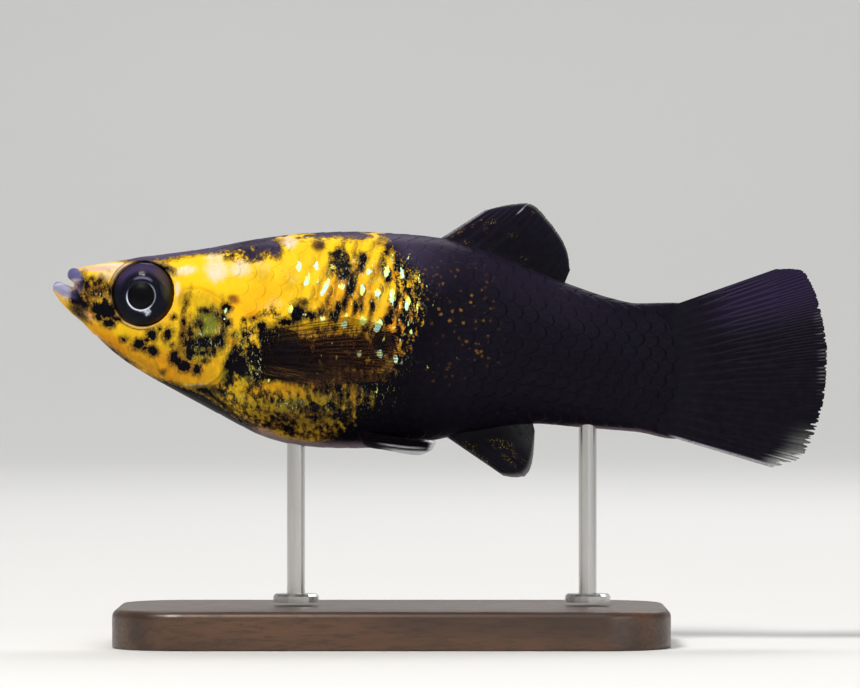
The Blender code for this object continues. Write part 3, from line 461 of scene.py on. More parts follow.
# the same, for zones of painted sparkles: tiny bright strokes of reflected light
SPARKLE_MARKS = (
    (256, 366, 10, 18, 0, 1.0), (200, 328, 8, 10, 0, 0.8), (216, 312, 8, 6, 0, 0.6),
    (291, 404, 18, 8, 0, 0.8), (247, 336, 8, 10, 0, 0.6), (200, 353, 12, 6, 0, 0.6),
    (276, 306, 20, 12, -30, 1.0), (272, 345, 12, 20, 0, 0.7), (408, 325, 8, 26, 0, 0.7),
    (235, 398, 20, 10, 30, 0.35), (350, 312, 50, 12, 0, 0.4), (372, 392, 26, 12, 0, 0.35),
    (99, 295, 10, 6, 0, 0.4), (395, 362, 20, 14, 0, 0.35), (316, 334, 20, 5, -10, 0.6),
    (368, 288, 62, 38, 0, 0.6), (340, 396, 60, 22, 0, 0.3), (215, 340, 26, 26, 0, 0.5),
)
# the same, for painted glints: the reflections of the silvery scales, put into the colour
GLINT_MARKS = (
    (299, 266.5, 3.2, 6.5, 0, 0.95), (316.5, 266, 3, 6, 0, 0.9), (318, 280.5, 1.5, 3, 0, 0.8),
    (307, 280, 3, 9, 22, 1.0), (325, 287.5, 3.2, 12.5, 24, 1.0), (331.5, 267, 1.7, 5, 0, 0.7),
    (341.5, 286.5, 4, 4, 0, 0.85), (355, 275.5, 1.2, 5, 0, 0.5), (362.5, 290, 3.2, 7.5, 0, 0.85),
    (368.5, 272, 3.2, 4.5, 0, 0.9), (372.5, 268, 1.2, 7, 0, 0.6), (377.5, 293, 3.6, 5, 15, 1.0),
    (386.5, 271.5, 3, 9.5, 4, 0.85), (392.3, 297, 3.9, 9.8, 0, 1.0), (402, 273.5, 2.8, 7.5, 0, 0.8),
    (407.5, 304, 3.4, 8.5, 8, 0.95), (419, 278, 2.2, 9, 0, 0.4), (417.5, 307, 1.8, 7.5, 0, 0.6),
    (322, 318.5, 3, 4.8, -20, 0.8), (291, 309, 2.8, 5.5, 10, 0.95), (305, 314.5, 2.2, 3, -30, 0.8),
    (346.5, 315, 2.2, 3, 25, 0.7), (344, 324, 4, 5.2, 12, 0.85), (350.5, 304.5, 1.6, 6.5, 24, 0.5),
    (363, 320.5, 5, 6.5, 25, 0.75), (378, 326, 4.4, 9.5, 28, 1.0), (398, 319.5, 1.8, 2.6, 0, 0.6),
    (394, 328.7, 2.8, 3.4, 0, 0.55), (410.5, 333, 2.2, 5, 0, 0.65), (226, 310, 1.5, 4, 24, 0.9),
    (224.5, 319, 1.2, 1.6, 0, 0.8), (359, 354, 2.6, 4.4, 10, 0.8), (380, 354, 3.2, 5, 15, 0.95),
    (396, 359, 2.6, 5.5, 10, 0.8), (428, 366, 1.6, 4, 0, 0.4), (321.5, 355, 2.2, 1.4, 0, 0.5),
    (317, 373.5, 1.5, 1.2, 0, 0.8), (377, 391, 2, 8, 8, 0.4), (394, 391, 2, 5, 12, 0.45),
    (337, 357, 2.2, 2.8, 0, 0.6), (287, 403.6, 1.2, 1.2, 0, 0.9), (269, 380.5, 2.4, 1.4, 0, 0.6),
    (184, 268, 6, 3, -20, 0.4), (310, 336, 7, 1.1, -14, 0.45), (426, 330, 1.6, 4, 0, 0.3),
)
# py, px: where the gold ends and the black coat begins
TUXEDO_EDGE = (
    (225, 386), (245, 392), (258, 399), (272, 412), (290, 420), (320, 420), (345, 408), (370, 390),
    (392, 366), (410, 345), (430, 330), (450, 318),
)
# x, how far down from the back line the dark band of the back reaches
BACK_BAND = (
    (-29.0, -0.6), (-26.6, -0.1), (-25.2, 0.3), (-22.5, 0.62), (-19.5, 0.55), (-17.8, 0.7), (-16.0, 0.9),
    (-14.2, 1.1), (-13.4, 0.7), (-12.9, -0.25), (-12.0, -0.25), (-11.4, 0.4), (-9.5, 0.3), (-7.0, 0.45),
    (-5.9, 0.3), (-5.3, -0.2), (-4.5, -0.1), (-3.8, 1.0),
)
# x, how far up from the belly line the dark band of the throat and breast reaches
THROAT_BAND = (
    (-26.0, -0.4), (-23.5, 0.15), (-22.0, 0.55), (-19.5, 0.9), (-17.0, 0.75), (-15.2, 0.35),
    (-14.4, -0.2),
)
PLAIN = -0.6  # the dark field where no mark is near


def to_photo(x, y, z):
    """The pixel at which the photograph's camera sees a place. The right flank is seen from its side."""
    enlarge = CAMERA_DISTANCE / (CAMERA_DISTANCE - np.abs(y)) * PIXELS_PER_MM
    return (
        PHOTO_WIDTH / 2 + (x - VIEW_CENTRE_X) * enlarge,
        PHOTO_HEIGHT / 2 - (z - VIEW_CENTRE_Z) * enlarge,
    )


def ellipse_distance(mark, px, py):
    """0 at a mark's heart, 1 on its rim and more outside."""
    x, y, length, height, lean = mark[:5]
    c, s = math.cos(math.radians(lean)), math.sin(math.radians(lean))
    along = ((px - x) * c + (py - y) * s) / length
    across = (-(px - x) * s + (py - y) * c) / height
    return np.hypot(along, across)


def near_mark(mark, px, py, reach):
    """Which places are within a mark's reach, so that the others needn't be worked out."""
    size = reach * max(mark[2], mark[3])
    return np.nonzero((np.abs(px - mark[0]) < size) & (np.abs(py - mark[1]) < size))


def field(marks, px, py):
    """How deep a place lies inside the nearest of some marks, in millimetres, negative outside."""
    deepest = np.full(px.shape, PLAIN)
    for mark in marks:
        scale = min(mark[2], mark[3]) / PIXELS_PER_MM
        near = near_mark(mark, px, py, 1.0 - PLAIN / scale)
        depth = (1.0 - ellipse_distance(mark, px[near], py[near])) * scale
        deepest[near] = np.maximum(deepest[near], depth)
    return deepest


def wash(marks, px, py, low=1.25, high=0.35):
    """The strongest of some soft marks at a place, from 0 to 1."""
    strongest = np.zeros(px.shape)
    for mark in marks:
        near = near_mark(mark, px, py, low)
        strength = mark[5] * ease(low, high, ellipse_distance(mark, px[near], py[near]))
        strongest[near] = np.maximum(strongest[near], strength)
    return strongest


def path_distance(path, points):
    """Each point's distance to a row of points that are joined by straight lines."""
    nearest = np.full(len(points), 99.0)
    path = np.asarray(path, float)
    for start, end in zip(path, path[1:]):
        way = end - start
        t = np.clip((points - start) @ way / (way @ way), 0.0, 1.0)
        nearest = np.minimum(nearest, np.linalg.norm(points - start - t[:, None] * way, axis=1))
    return nearest


def lip_path(half_path):
    """A lip's middle line from one mouth corner round the front to the other."""
    path = [(x, -y, z) for x, y, z in half_path] + [(x, y, z) for x, y, z in half_path[-2::-1]]
    rows = [(i / (len(path) - 1), *p) for i, p in enumerate(path)]
    return smooth(rows, np.linspace(0, 1, 33))


# How the marks of the right flank are pushed about: size and length of each wave in pixels, and its start
PUSH_ALONG_BY_HEIGHT = ((9, 31, 1), (4, 9, 0))
PUSH_ALONG_BY_LENGTH = ((7, 19, 2),)
PUSH_UP_BY_LENGTH = ((8, 27, 2), (3, 8, 0))
PUSH_UP_BY_HEIGHT = ((5, 17, 0),)
PUSH_LOST_ON_HEAD = 0.6
# How the dark band of the back wanders: size, turns along and across, start; the last only off the midline
BAND_RIPPLES = ((0.45, 0.0, 2.3, 1.1), (0.3, 1.0, 4.9, 0.0), (0.25, 5.3, 2.0, 0.0))
BAND_RIPPLES_OFF_MIDLINE = ((1.3, 0.6, 1.7, 0.0),)
BAND_RIPPLE_DEPTH = 0.12
MOTTLED_DARK = 0.9
GOLD_MARK_SLOPE = 2.0
EDGE_SLOPES = (0.28, 0.42)  # how fast the dark field grows before the edge of the gold and past it
DEEPEST_DARK = 2.0
# Zones that fade from nothing at the first number to full at the second, in millimetres: down is from the
# back line, up is from the belly line, side is from the midline
RIGHT_SIDE = (0.1, 2.2)
HEAD_X = (-17.0, -21.0)
RIPPLE_DOWN, RIPPLE_SIDE = (0.8, 0.0), (0.2, 1.3)
NAPE_X, NAPE_DOWN = (-13.5, -19.5), (0.9, 0.2)
PAST_GOLD = (-0.6, 1.2)
VIOLET_DOWN, NAPE_VIOLET_DOWN, NAPE_VIOLET_X = (1.5, 0.5), (3.0, 1.6), (-11.0, -13.0)
SHEEN_DOWN, SHEEN_X, SHEEN_LOST_X = (6.5, 0.0), (-20.0, -12.0), (9.0, 17.0)
REAR_PIXELS = (385, 470)
KEEL_UP, KEEL_FRONT_X, KEEL_REAR_X = (0.75, 0.15), (-16.5, -14.0), (-2.0, -6.0)
STALK_EDGE_UP, STALK_EDGE_X = (0.34, 0.1), (10.0, 12.5)
# the olive wash that darkens the front lower down: partly olive tint, partly painted shade
BREAST_OLIVE_AND_SHADE_Z, BREAST_OLIVE_AND_SHADE_X = (29.5, 22.5), (-6.0, -12.0)
# Lips: how far their colour reaches, in radii, and the zones where it ends
UPPER_LIP_REACH, LOWER_LIP_REACH = (1.35, 0.98), (1.5, 0.98)
LOWER_LIP_X, LIPS_X = (-29.9, -30.6), (-29.5, -30.0)
MOUTH_GAP_X, MOUTH_GAP_Z = (-30.95, -30.5), (30.5, 30.1)
# Pale rims of the upper and lower lip
UPPER_FROST_X, UPPER_FROST_Z = (-30.8, -31.05), (30.1, 30.4)
LOWER_FROST_X, LOWER_FROST_Z = (-30.4, -31.0), (30.2, 29.9)
EDGE_FROST_RISE, EDGE_FROST_Z, EDGE_FROST_TOP = 0.2, (29.86, 29.98), (30.5, 30.3)
EDGE_FROST_START_X, EDGE_FROST_SIDE = -31.5, (0.3, 0.7)
# Radius and width of the pale eyelid and of the line outside it
EYELID, EYELID_LINE = (2.83, 0.07), (2.98, 0.06)


def waves(rows, at):
    """Some waves along one way, added up."""
    return sum(size * np.sin(at / length + start) for size, length, start in rows)


def ripples(rows, x, y):
    """Some slanting waves, added up."""
    return sum(size * np.sin(along * x + across * y + start) for size, along, across, start in rows)


def marks_place(points):
    """The photograph's pixel whose marks a place takes. On the right flank they are pushed about."""
    px, py = to_photo(*points.T)
    push = ease(*RIGHT_SIDE, points[:, 1]) * (1 - PUSH_LOST_ON_HEAD * ease(*HEAD_X, points[:, 0]))
    along = waves(PUSH_ALONG_BY_HEIGHT, py) + waves(PUSH_ALONG_BY_LENGTH, px)
    up = waves(PUSH_UP_BY_LENGTH, px) + waves(PUSH_UP_BY_HEIGHT, py)
    return px + push * along, py + push * up


def dark_field(points, px, py, down, up, mottle, past_edge):
    """How deep a place lies in black pigment, in millimetres, from all the marks, edges and bands."""
    x, y, _ = points.T
    dark = np.maximum(field(DARK_MARKS, px, py), PLAIN * (1 - MOTTLED_DARK * mottle))
    dark = np.maximum(dark, past_edge * np.where(past_edge < 0, *EDGE_SLOPES))
    ripple = ripples(BAND_RIPPLES, x, y)
    ripple += ripples(BAND_RIPPLES_OFF_MIDLINE, x, y) * ease(*RIPPLE_SIDE, np.abs(y))
    band = smooth(BACK_BAND, x + ripple * ease(*RIPPLE_DOWN, down))
    dark = np.maximum(dark, band - down - BAND_RIPPLE_DEPTH * ripple)
    dark = np.maximum(dark, smooth(THROAT_BAND, x) - up)
    dark = np.minimum(dark, -field(GOLD_MARKS, px, py) * GOLD_MARK_SLOPE)
    return np.clip(dark, PLAIN, DEEPEST_DARK)


def violet_sheen_share(x, px, down, past_edge):
    """The painted violet sheen of nape and back and of the black next to the gold, almost lost on the rear.
    """
    nape = ease(*NAPE_X, x) * ease(*NAPE_DOWN, down)
    band = np.maximum(ease(*VIOLET_DOWN, down), 0.8 * ease(*NAPE_VIOLET_DOWN, down) * ease(*NAPE_VIOLET_X, x))
    sheen = np.maximum(band, ease(*SHEEN_DOWN, down) * ease(*PAST_GOLD, past_edge)) * ease(*SHEEN_X, x)
    violet = np.maximum(nape, 0.7 * sheen * (1 - 0.6 * ease(*SHEEN_LOST_X, x)))
    rear = ease(*REAR_PIXELS, px)
    return np.maximum(violet * (1 - 0.75 * rear), 0.05 * rear)


def lip_shares(points):
    """How much a place belongs to a lip, and how pale it is there."""
    x, y, z = points.T
    upper = path_distance(lip_path(UPPER_LIP), points) / UPPER_LIP_RADIUS
    lower = path_distance(lip_path(LOWER_LIP), points) / LOWER_LIP_RADIUS
    lip = np.maximum(ease(*UPPER_LIP_REACH, upper), ease(*LOWER_LIP_REACH, lower) * ease(*LOWER_LIP_X, x))
    lip *= ease(*LIPS_X, x) * (1 - 0.6 * ease(*MOUTH_GAP_X, x) * ease(*MOUTH_GAP_Z, z))
    above = 0.4 * ease(*UPPER_FROST_X, x) * ease(*UPPER_FROST_Z, z)
    below = 0.42 * ease(*LOWER_FROST_Z, z) * ease(*LOWER_FROST_X, x)
    edge = ease(*EDGE_FROST_Z, z - EDGE_FROST_RISE * (x - EDGE_FROST_START_X)) * ease(*EDGE_FROST_TOP, z)
    below += 0.35 * edge * ease(*EDGE_FROST_SIDE, np.abs(y))
    return lip, np.maximum(above, below)


def eyelid_shares(x, z):
    """The pale tan lid round the eye, with a painted highlight that makes it brightest in front, and the
    brown line in front of it.
    """
    aft, up = x - EYE_CENTRE[0], z - EYE_CENTRE[2]
    radius = np.hypot((aft - EYE_SHIFT[0]) / EYE_FORESHORTENED, up - EYE_SHIFT[1])
    front = ease(0.4, -0.6, (aft + 0.4 * up) / EYE_RADIUS)
    lid, line = (bump_of(radius - rim, width) for rim, width in (EYELID, EYELID_LINE))
    # tan lid, with a painted highlight on its front
    return (0.25 + 0.6 * front) * lid, front * line


def paint(points):
    """Each mark's strength at points on or near the body, the same for the skin and its scales: pigments, and
    the painted sheen, highlights, shade and glints.
    """
    x, _, z = points.T
    px, py = marks_place(points)
    down, up = smooth(BACK_LINE, x) - z, z - smooth(BELLY_LINE, x)
    past_edge = (px - smooth(TUXEDO_EDGE, py)) / PIXELS_PER_MM
    mottle = wash(MOTTLE_MARKS, px, py, 1.2, 0.6)
    lid, lid_line = eyelid_shares(x, z)
    lip, frost = lip_shares(points)
    keel = ease(*KEEL_UP, up) * ease(*KEEL_FRONT_X, x) * ease(*KEEL_REAR_X, x)
    stalk_edge = 0.9 * ease(*STALK_EDGE_UP, up) * ease(*STALK_EDGE_X, x)
    # olive tint and painted shade, darker down the front
    breast = 0.45 * ease(*BREAST_OLIVE_AND_SHADE_Z, z) * ease(*BREAST_OLIVE_AND_SHADE_X, x)
    return {
        "dark": dark_field(points, px, py, down, up, mottle, past_edge),
        "mottle": mottle,
        "orange": wash(ORANGE_MARKS, px, py),
        # pale patches, partly painted highlights
        "pale": wash(PALE_AND_HIGHLIGHT_MARKS, px, py),
        "flesh": np.maximum(wash(FLESH_MARKS, px, py), lid),
        # olive tint, partly painted shade on the lower head and front
        "olive": np.maximum(wash(OLIVE_MARKS, px, py), breast),
        "green": wash(GREEN_MARKS, px, py),
        # painted sparkles, tiny reflections
        "sparkle": wash(SPARKLE_MARKS, px, py),
        "fleck": wash(FLECK_MARKS, px, py),
        "soft": wash(SOFT_MARKS, px, py, 1.2, 0.7),
        "rust": np.maximum(wash(RUST_MARKS, px, py), lid_line),
        # painted violet sheen on the black
        "purple": violet_sheen_share(x, px, down, past_edge),
        "lilac": np.maximum(keel, stalk_edge),
        "lip": lip,
        "frost": frost,
        # painted glints, reflections of the silvery scales
        "glint": wash(GLINT_MARKS, px, py, 1.15, 0.4),
    }


# Colours
YELLOW = (0.88, 0.54, 0.012)
ORANGE = (0.80, 0.29, 0.006)
# pale cream, also the colour of the painted highlights
PALE = (0.70, 0.62, 0.46)
FLESH = (0.62, 0.40, 0.29)
OLIVE = (0.125, 0.08, 0.010)
GREEN = (0.145, 0.175, 0.018)
RUST = (0.125, 0.042, 0.012)
HALO = (0.075, 0.038, 0.010)
BLACK = (0.0020, 0.0017, 0.0036)
# painted violet sheen of the black coat, a reflection put into the colour
VIOLET_SHEEN = (0.068, 0.05, 0.10)
LILAC = (0.17, 0.125, 0.155)
LIP = (0.045, 0.04, 0.15)
LIP_EDGE = (0.48, 0.48, 0.62)
# colours of the painted glints, reflections of the silvery scales
GLINT_LIME = (0.78, 0.93, 0.22)
GLINT_ICE = (0.50, 0.88, 0.82)
GLINT_GOLD = (0.80, 0.68, 0.06)
GLINT_WHITE = (0.94, 1.0, 0.93)
# colours of the painted sparkles, tiny reflections
SPARK_LIME = (0.50, 0.52, 0.06)
SPARK_PEARL = (0.62, 0.66, 0.55)
FLECK = (0.20, 0.095, 0.016)
# painted violet sheen of the black fins
FIN_SHEEN = (0.024, 0.015, 0.047)
PER_MM = 1000.0  # texture scales are in turns a millimetre of object space, which is in metres


class Graph:
    """A short way to write a material's nodes around one Principled shader."""

    def __init__(self, name, **sockets):
        self.material = bpy.data.materials.new(name)
        self.material.use_nodes = True
        self.tree = self.material.node_tree
        self.shader = self.tree.nodes["Principled BSDF"]
        self.output = self.tree.nodes["Material Output"]
        for socket, value in sockets.items():
            self.shader.inputs[socket.replace("_", " ")].default_value = value
        self.place = self.tree.nodes.new("ShaderNodeTexCoord").outputs["Object"]

    def node(self, kind, inputs, **settings):
        """A node with its inputs set or linked, by name or number."""
        made = self.tree.nodes.new("ShaderNode" + kind)
        for setting, value in settings.items():
            setattr(made, setting, value)
        for key, value in inputs.items():
            self.set(made.inputs[key], value)
        return made

    def set(self, socket, value):
        if isinstance(value, bpy.types.NodeSocket):
            self.tree.links.new(value, socket)
        elif isinstance(value, tuple) and len(value) == 3 and socket.type == "RGBA":
            socket.default_value = (*value, 1.0)
        else:
            socket.default_value = value

    def value(self, name):
        """A number that the mesh holds for each point."""
        return self.node("Attribute", {}, attribute_name=name).outputs["Fac"]

    def math(self, operation, a, b=0.0, c=0.0, clamp=False):
        made = self.node("Math", {0: a, 1: b, 2: c}, operation=operation, use_clamp=clamp)
        return made.outputs[0]

    def times(self, a, b):
        return self.math("MULTIPLY", a, b)

    def scaled(self, value, factor, plus, clamp=False):
        """A value times a factor, plus another value."""
        return self.math("MULTIPLY_ADD", value, factor, plus, clamp)

    def centred(self, noise):
        """A noise brought from around a half to around nothing."""
        return self.math("SUBTRACT", noise, 0.5)

    def mix(self, share, a, b):
        made = self.node("Mix", {"Factor": share}, data_type="RGBA")
        self.set(made.inputs[6], a)
        self.set(made.inputs[7], b)
        return made.outputs[2]

    def step(self, value, low, high, to_low=0.0, to_high=1.0):
        """A soft step from to_low, where the value is low, to to_high."""
        made = self.node(
            "MapRange",
            {"Value": value, "From Min": low, "From Max": high, "To Min": to_low, "To Max": to_high},
            interpolation_type="SMOOTHSTEP",
        )
        return made.outputs[0]

    def stretched(self, x, y, z):
        """The place in the object, for a texture that is stretched where a factor is below 1."""
        return self.node("VectorMath", {0: self.place, 1: (x, y, z)}, operation="MULTIPLY").outputs[0]

    def noise(self, turns, detail=2.0, roughness=0.5, place=None):
        inputs = {"Vector": place or self.place, "Scale": turns * PER_MM}
        inputs.update(Detail=detail, Roughness=roughness)
        return self.node("TexNoise", inputs).outputs["Fac"]

    def cells(self, turns):
        """The distance from the middles of scattered cells."""
        inputs = {"Vector": self.place, "Scale": turns * PER_MM}
        return self.node("TexVoronoi", inputs).outputs["Distance"]

    def bump(self, height, distance, strength):
        inputs = {"Height": height, "Distance": distance * MM, "Strength": strength}
        return self.node("Bump", inputs).outputs["Normal"]

    def finish(self, colour=None, roughness=None, normal=None, alpha=None):
        """Links what is given to the shader, and returns the material."""
        given = {"Base Color": colour, "Roughness": roughness, "Normal": normal, "Alpha": alpha}
        given["Coat Normal"] = normal
        for socket, value in given.items():
            if value is not None:
                self.set(self.shader.inputs[socket], value)
        return self.material


def skin_look():
    """Pigments in layers: gold and its tints, partly painted shade and highlights, black pigment cells over
    them with a painted violet sheen, then painted glints and sparkles, the silvery scales' reflections.
    """
    g = Graph("molly_skin", Specular_IOR_Level=0.025, Coat_Weight=0.035, Coat_Roughness=0.12, Coat_IOR=1.38)
    broad = g.noise(0.55, 3.0)
    middle = g.noise(1.9, 3.0, 0.6)
    fine = g.noise(6.5, 3.0, 0.65)
    grain = g.noise(17.0, 2.0, 0.6)
    streak = g.noise(7.0, 2.0, 0.6, g.stretched(1.0, 1.0, 0.38))
    upright = g.noise(2.6, 3.0, 0.6, g.stretched(1.0, 1.0, 0.5))
    orange = g.scaled(g.centred(broad), 0.9, g.value("orange"), clamp=True)
    colour = g.mix(orange, YELLOW, ORANGE)
    cloud = g.noise(1.8, 4.0, 0.75, g.stretched(1.0, 1.0, 0.5))
    # pale patches, some of them painted highlights
    ragged_pale = g.step(g.scaled(g.centred(cloud), 1.5, g.value("pale")), 0.1, 1.2)
    colour = g.mix(ragged_pale, colour, PALE)
    colour = g.mix(g.value("flesh"), colour, FLESH)
    # olive tint, partly painted shade
    olive = g.times(g.value("olive"), g.step(upright, 0.3, 0.62, 0.5, 1.0))
    colour = g.mix(olive, colour, OLIVE)
    ragged_green = g.times(g.value("green"), g.step(middle, 0.22, 0.46))
    colour = g.mix(ragged_green, colour, GREEN)
    ragged_rust = g.times(g.value("rust"), g.step(fine, 0.24, 0.46, 0.25, 1.0))
    colour = g.mix(ragged_rust, colour, RUST)
    freckles = g.times(g.step(g.noise(4.2, 1.0), 0.69, 0.77), 0.35)
    colour = g.mix(freckles, colour, RUST)
    mottle = g.value("mottle")
    ragged = g.times(g.centred(upright), g.scaled(mottle, 1.9, 0.5))
    soft = g.value("soft")
    amount = g.times(g.scaled(mottle, 1.0, 0.35), g.scaled(soft, -0.65, 1.0))
    stipple = g.times(g.centred(fine), amount)
    dark = g.math("ADD", g.value("dark"), g.math("ADD", ragged, stipple))
    halo = g.times(g.step(dark, -0.4, 0.0), g.step(fine, 0.2, 0.6, 0.55, 0.9))
    colour = g.mix(halo, colour, HALO)
    black = g.step(dark, g.scaled(soft, -0.2, -0.03), g.scaled(soft, 0.3, 0.07))
    # black pigment with the painted violet sheen on it, and faint patches of that sheen elsewhere
    black_and_sheen = g.mix(g.value("purple"), BLACK, VIOLET_SHEEN)
    black_and_sheen = g.mix(g.times(g.step(middle, 0.45, 0.75), 0.035), black_and_sheen, VIOLET_SHEEN)
    colour = g.mix(black, colour, black_and_sheen)
    colour = g.mix(g.value("lilac"), colour, LILAC)
    lip = g.mix(g.scaled(fine, 0.22, g.value("frost"), clamp=True), LIP, LIP_EDGE)
    colour = g.mix(g.value("lip"), colour, lip)
    dots = g.step(g.scaled(g.centred(grain), 0.7, g.cells(1.6)), 0.27, 0.13)
    fleck = g.times(g.value("fleck"), g.times(dots, g.step(middle, 0.36, 0.52)))
    colour = g.mix(fleck, colour, FLECK)
    # painted sparkles: tiny reflections drawn as bright strokes
    sparkle = g.times(g.value("sparkle"), g.step(streak, 0.6, 0.68))
    # painted glints: the silvery scales' reflections as bright colour, broken by streaks
    broken = g.times(g.centred(streak), g.step(g.value("glint"), 0.05, 0.25, 0.0, 1.9))
    shine = g.math("ADD", broken, g.value("glint"))
    glint = g.step(shine, 0.4, 0.54)
    colour = g.mix(sparkle, colour, g.mix(g.step(fine, 0.4, 0.6), SPARK_LIME, SPARK_PEARL))
    tint = g.mix(g.step(middle, 0.42, 0.58), GLINT_LIME, GLINT_ICE)
    tint = g.mix(g.step(shine, 0.44, 0.62), GLINT_GOLD, tint)
    colour = g.mix(glint, colour, g.mix(g.step(shine, 0.9, 1.4), tint, GLINT_WHITE))
    roughness = g.step(fine, 0.3, 0.7, 0.3, 0.46)
    height = g.scaled(grain, 0.35, fine)
    return g.finish(colour, roughness, g.bump(height, 0.035, 0.5))


# Skin
# x, z: the slit between the jaws and the space in front of the upper one
MOUTH_CUT = (
    MOUTH_CORNER, (MOUTH_FACE_X, 29.84), (MOUTH_FACE_X, 34.0), (-34.0, 34.0), (-34.0, 30.6),
    (-31.2, 29.98), (MOUTH_FACE_X, 29.64), (MOUTH_CORNER[0], MOUTH_CORNER[1] - 0.08),
)
# Photograph pixels: the gill cover's free hind edge, then the front that closes its outline
GILL_EDGE = (
    (187, 291), (200, 291), (213, 297), (224, 306), (231, 318), (234, 332), (233, 346), (229, 358),
    (224, 370), (216, 380), (205, 386), (192, 388), (178, 385), (166, 378),
)
GILL_FRONT = ((150, 350), (160, 300))
GILL_RISE = 0.27
GILL_RISE_PIXELS = 24.0
# Photograph pixels, then width and depth in millimetres
GROOVES = (
    (((187, 294), (184.5, 312), (184, 332), (183, 350), (177, 366)), 0.15, 0.12),
    (((79, 288), (84, 297), (90, 306), (98, 316)), 0.14, 0.1),
    (((96, 336), (120, 355), (148, 371), (168, 381)), 0.12, 0.09),
    (((81, 270), (84, 276), (83, 284)), 0.1, 0.08),
    (((196, 352), (206, 352), (216, 349)), 0.1, 0.05),
)
NOSTRIL_WIDTH, NOSTRIL_DEPTH, NOSTRIL_RIM = 0.13, 0.28, 0.07
# Round the eye: how far out and back the skin is moved, and the thin fold over the eye's rim
SOCKET_REACH, SOCKET_BACK = 3.6, -1.6
RIM_OVER_EYE, RIM_RISE, RIM_RADIUS, RIM_WIDTH = 0.05, 0.07, 2.84, 0.1
FOLD_FADE, PIT_EDGE, PIT_DEPTH = (3.4, 2.9), (2.76, 2.66), -0.45
# Where the bed of the scales begins and ends, and the furrow behind the gill cover's edge
BED_FADE, BED_END_X = (0.0, 0.7), (20.4, 19.5)
FURROW_DEPTH, FURROW_PLACE, FURROW_WIDTH, FURROW_FROM_PX = 0.13, 1.5, 2.2, (175, 190)
GROOVES_END_X = -18.0
# share round the flank, x: where the scales begin
SCALES_BEGIN = (
    (-1.0, -18.6), (-0.6, -17.9), (-0.3, -17.15), (0.05, -16.95), (0.35, -17.5), (0.6, -18.6),
    (0.85, -21.0), (1.0, -22.6),
)


def closed_tube(rings):
    """A mesh object through rings of points, with flat ends."""
    count, around = rings.shape[:2]
    faces = [tuple(face) for face in grid_faces(count, around, closed=True)]
    faces += [tuple(range(around)), tuple(range((count - 1) * around, count * around))]
    mesh = bpy.data.meshes.new("tube")
    mesh.from_pydata(rings.reshape(-1, 3).tolist(), [], faces)
    shape = bmesh.new()
    shape.from_mesh(mesh)
    bmesh.ops.recalc_face_normals(shape, faces=shape.faces)
    shape.to_mesh(mesh)
    shape.free()
    return add_object("tube", mesh)


def body_rings():
    """Rings round the body, closest together on the head."""
    stations = np.concatenate([
        np.arange(SNOUT_TIP_X, -28.0, 0.2), np.arange(-28.0, -14.0, 0.4),
        np.arange(-14.0, STALK_TIP_X - 0.3, 0.7), [STALK_TIP_X],
    ])
    turns = np.arange(96) * 3.75
    y, z = body_section(stations[:, None], turns[None, :])
    return np.stack([np.broadcast_to(stations[:, None], y.shape), y, z], axis=-1)


def lip_rings(half_path, radius):
    """Rings round a lip, thinner towards the mouth corners."""
    path = lip_path(half_path)
    ahead = np.gradient(path, axis=0)
    ahead /= np.linalg.norm(ahead, axis=1)[:, None]
    out = np.cross(ahead, (0.0, 0.0, 1.0))
    out /= np.linalg.norm(out, axis=1)[:, None]
    over = np.cross(out, ahead)
    share = np.linspace(0, 1, len(path))
    size = radius * (0.55 + 0.45 * np.sin(math.pi * share))
    angle = np.linspace(0, 2 * math.pi, 20, endpoint=False)
    ring = np.cos(angle)[None, :, None] * out[:, None] + np.sin(angle)[None, :, None] * over[:, None]
    return path[:, None] + ring * size[:, None, None]


def mesh_arrays(mesh):
    """A mesh's points and the corners of its quads."""
    points = np.empty(len(mesh.vertices) * 3, np.float32)
    mesh.vertices.foreach_get("co", points)
    corners = np.empty(len(mesh.loops), np.int32)
    mesh.loops.foreach_get("vertex_index", corners)
    return points.reshape(-1, 3).astype(float), corners.reshape(len(mesh.polygons), -1)


def point_normals(points, quads):
    """The way out at each point of a mesh of quads."""
    across = np.cross(points[quads[:, 2]] - points[quads[:, 0]], points[quads[:, 3]] - points[quads[:, 1]])
    normals = np.zeros_like(points)
    for corner in quads.T:
        np.add.at(normals, corner, across)
    return normals / np.maximum(np.linalg.norm(normals, axis=1), 1e-12)[:, None]


def evaluated(thing):
    """An object as its modifiers make it."""
    bpy.context.view_layer.update()
    return thing.evaluated_get(bpy.context.evaluated_depsgraph_get())


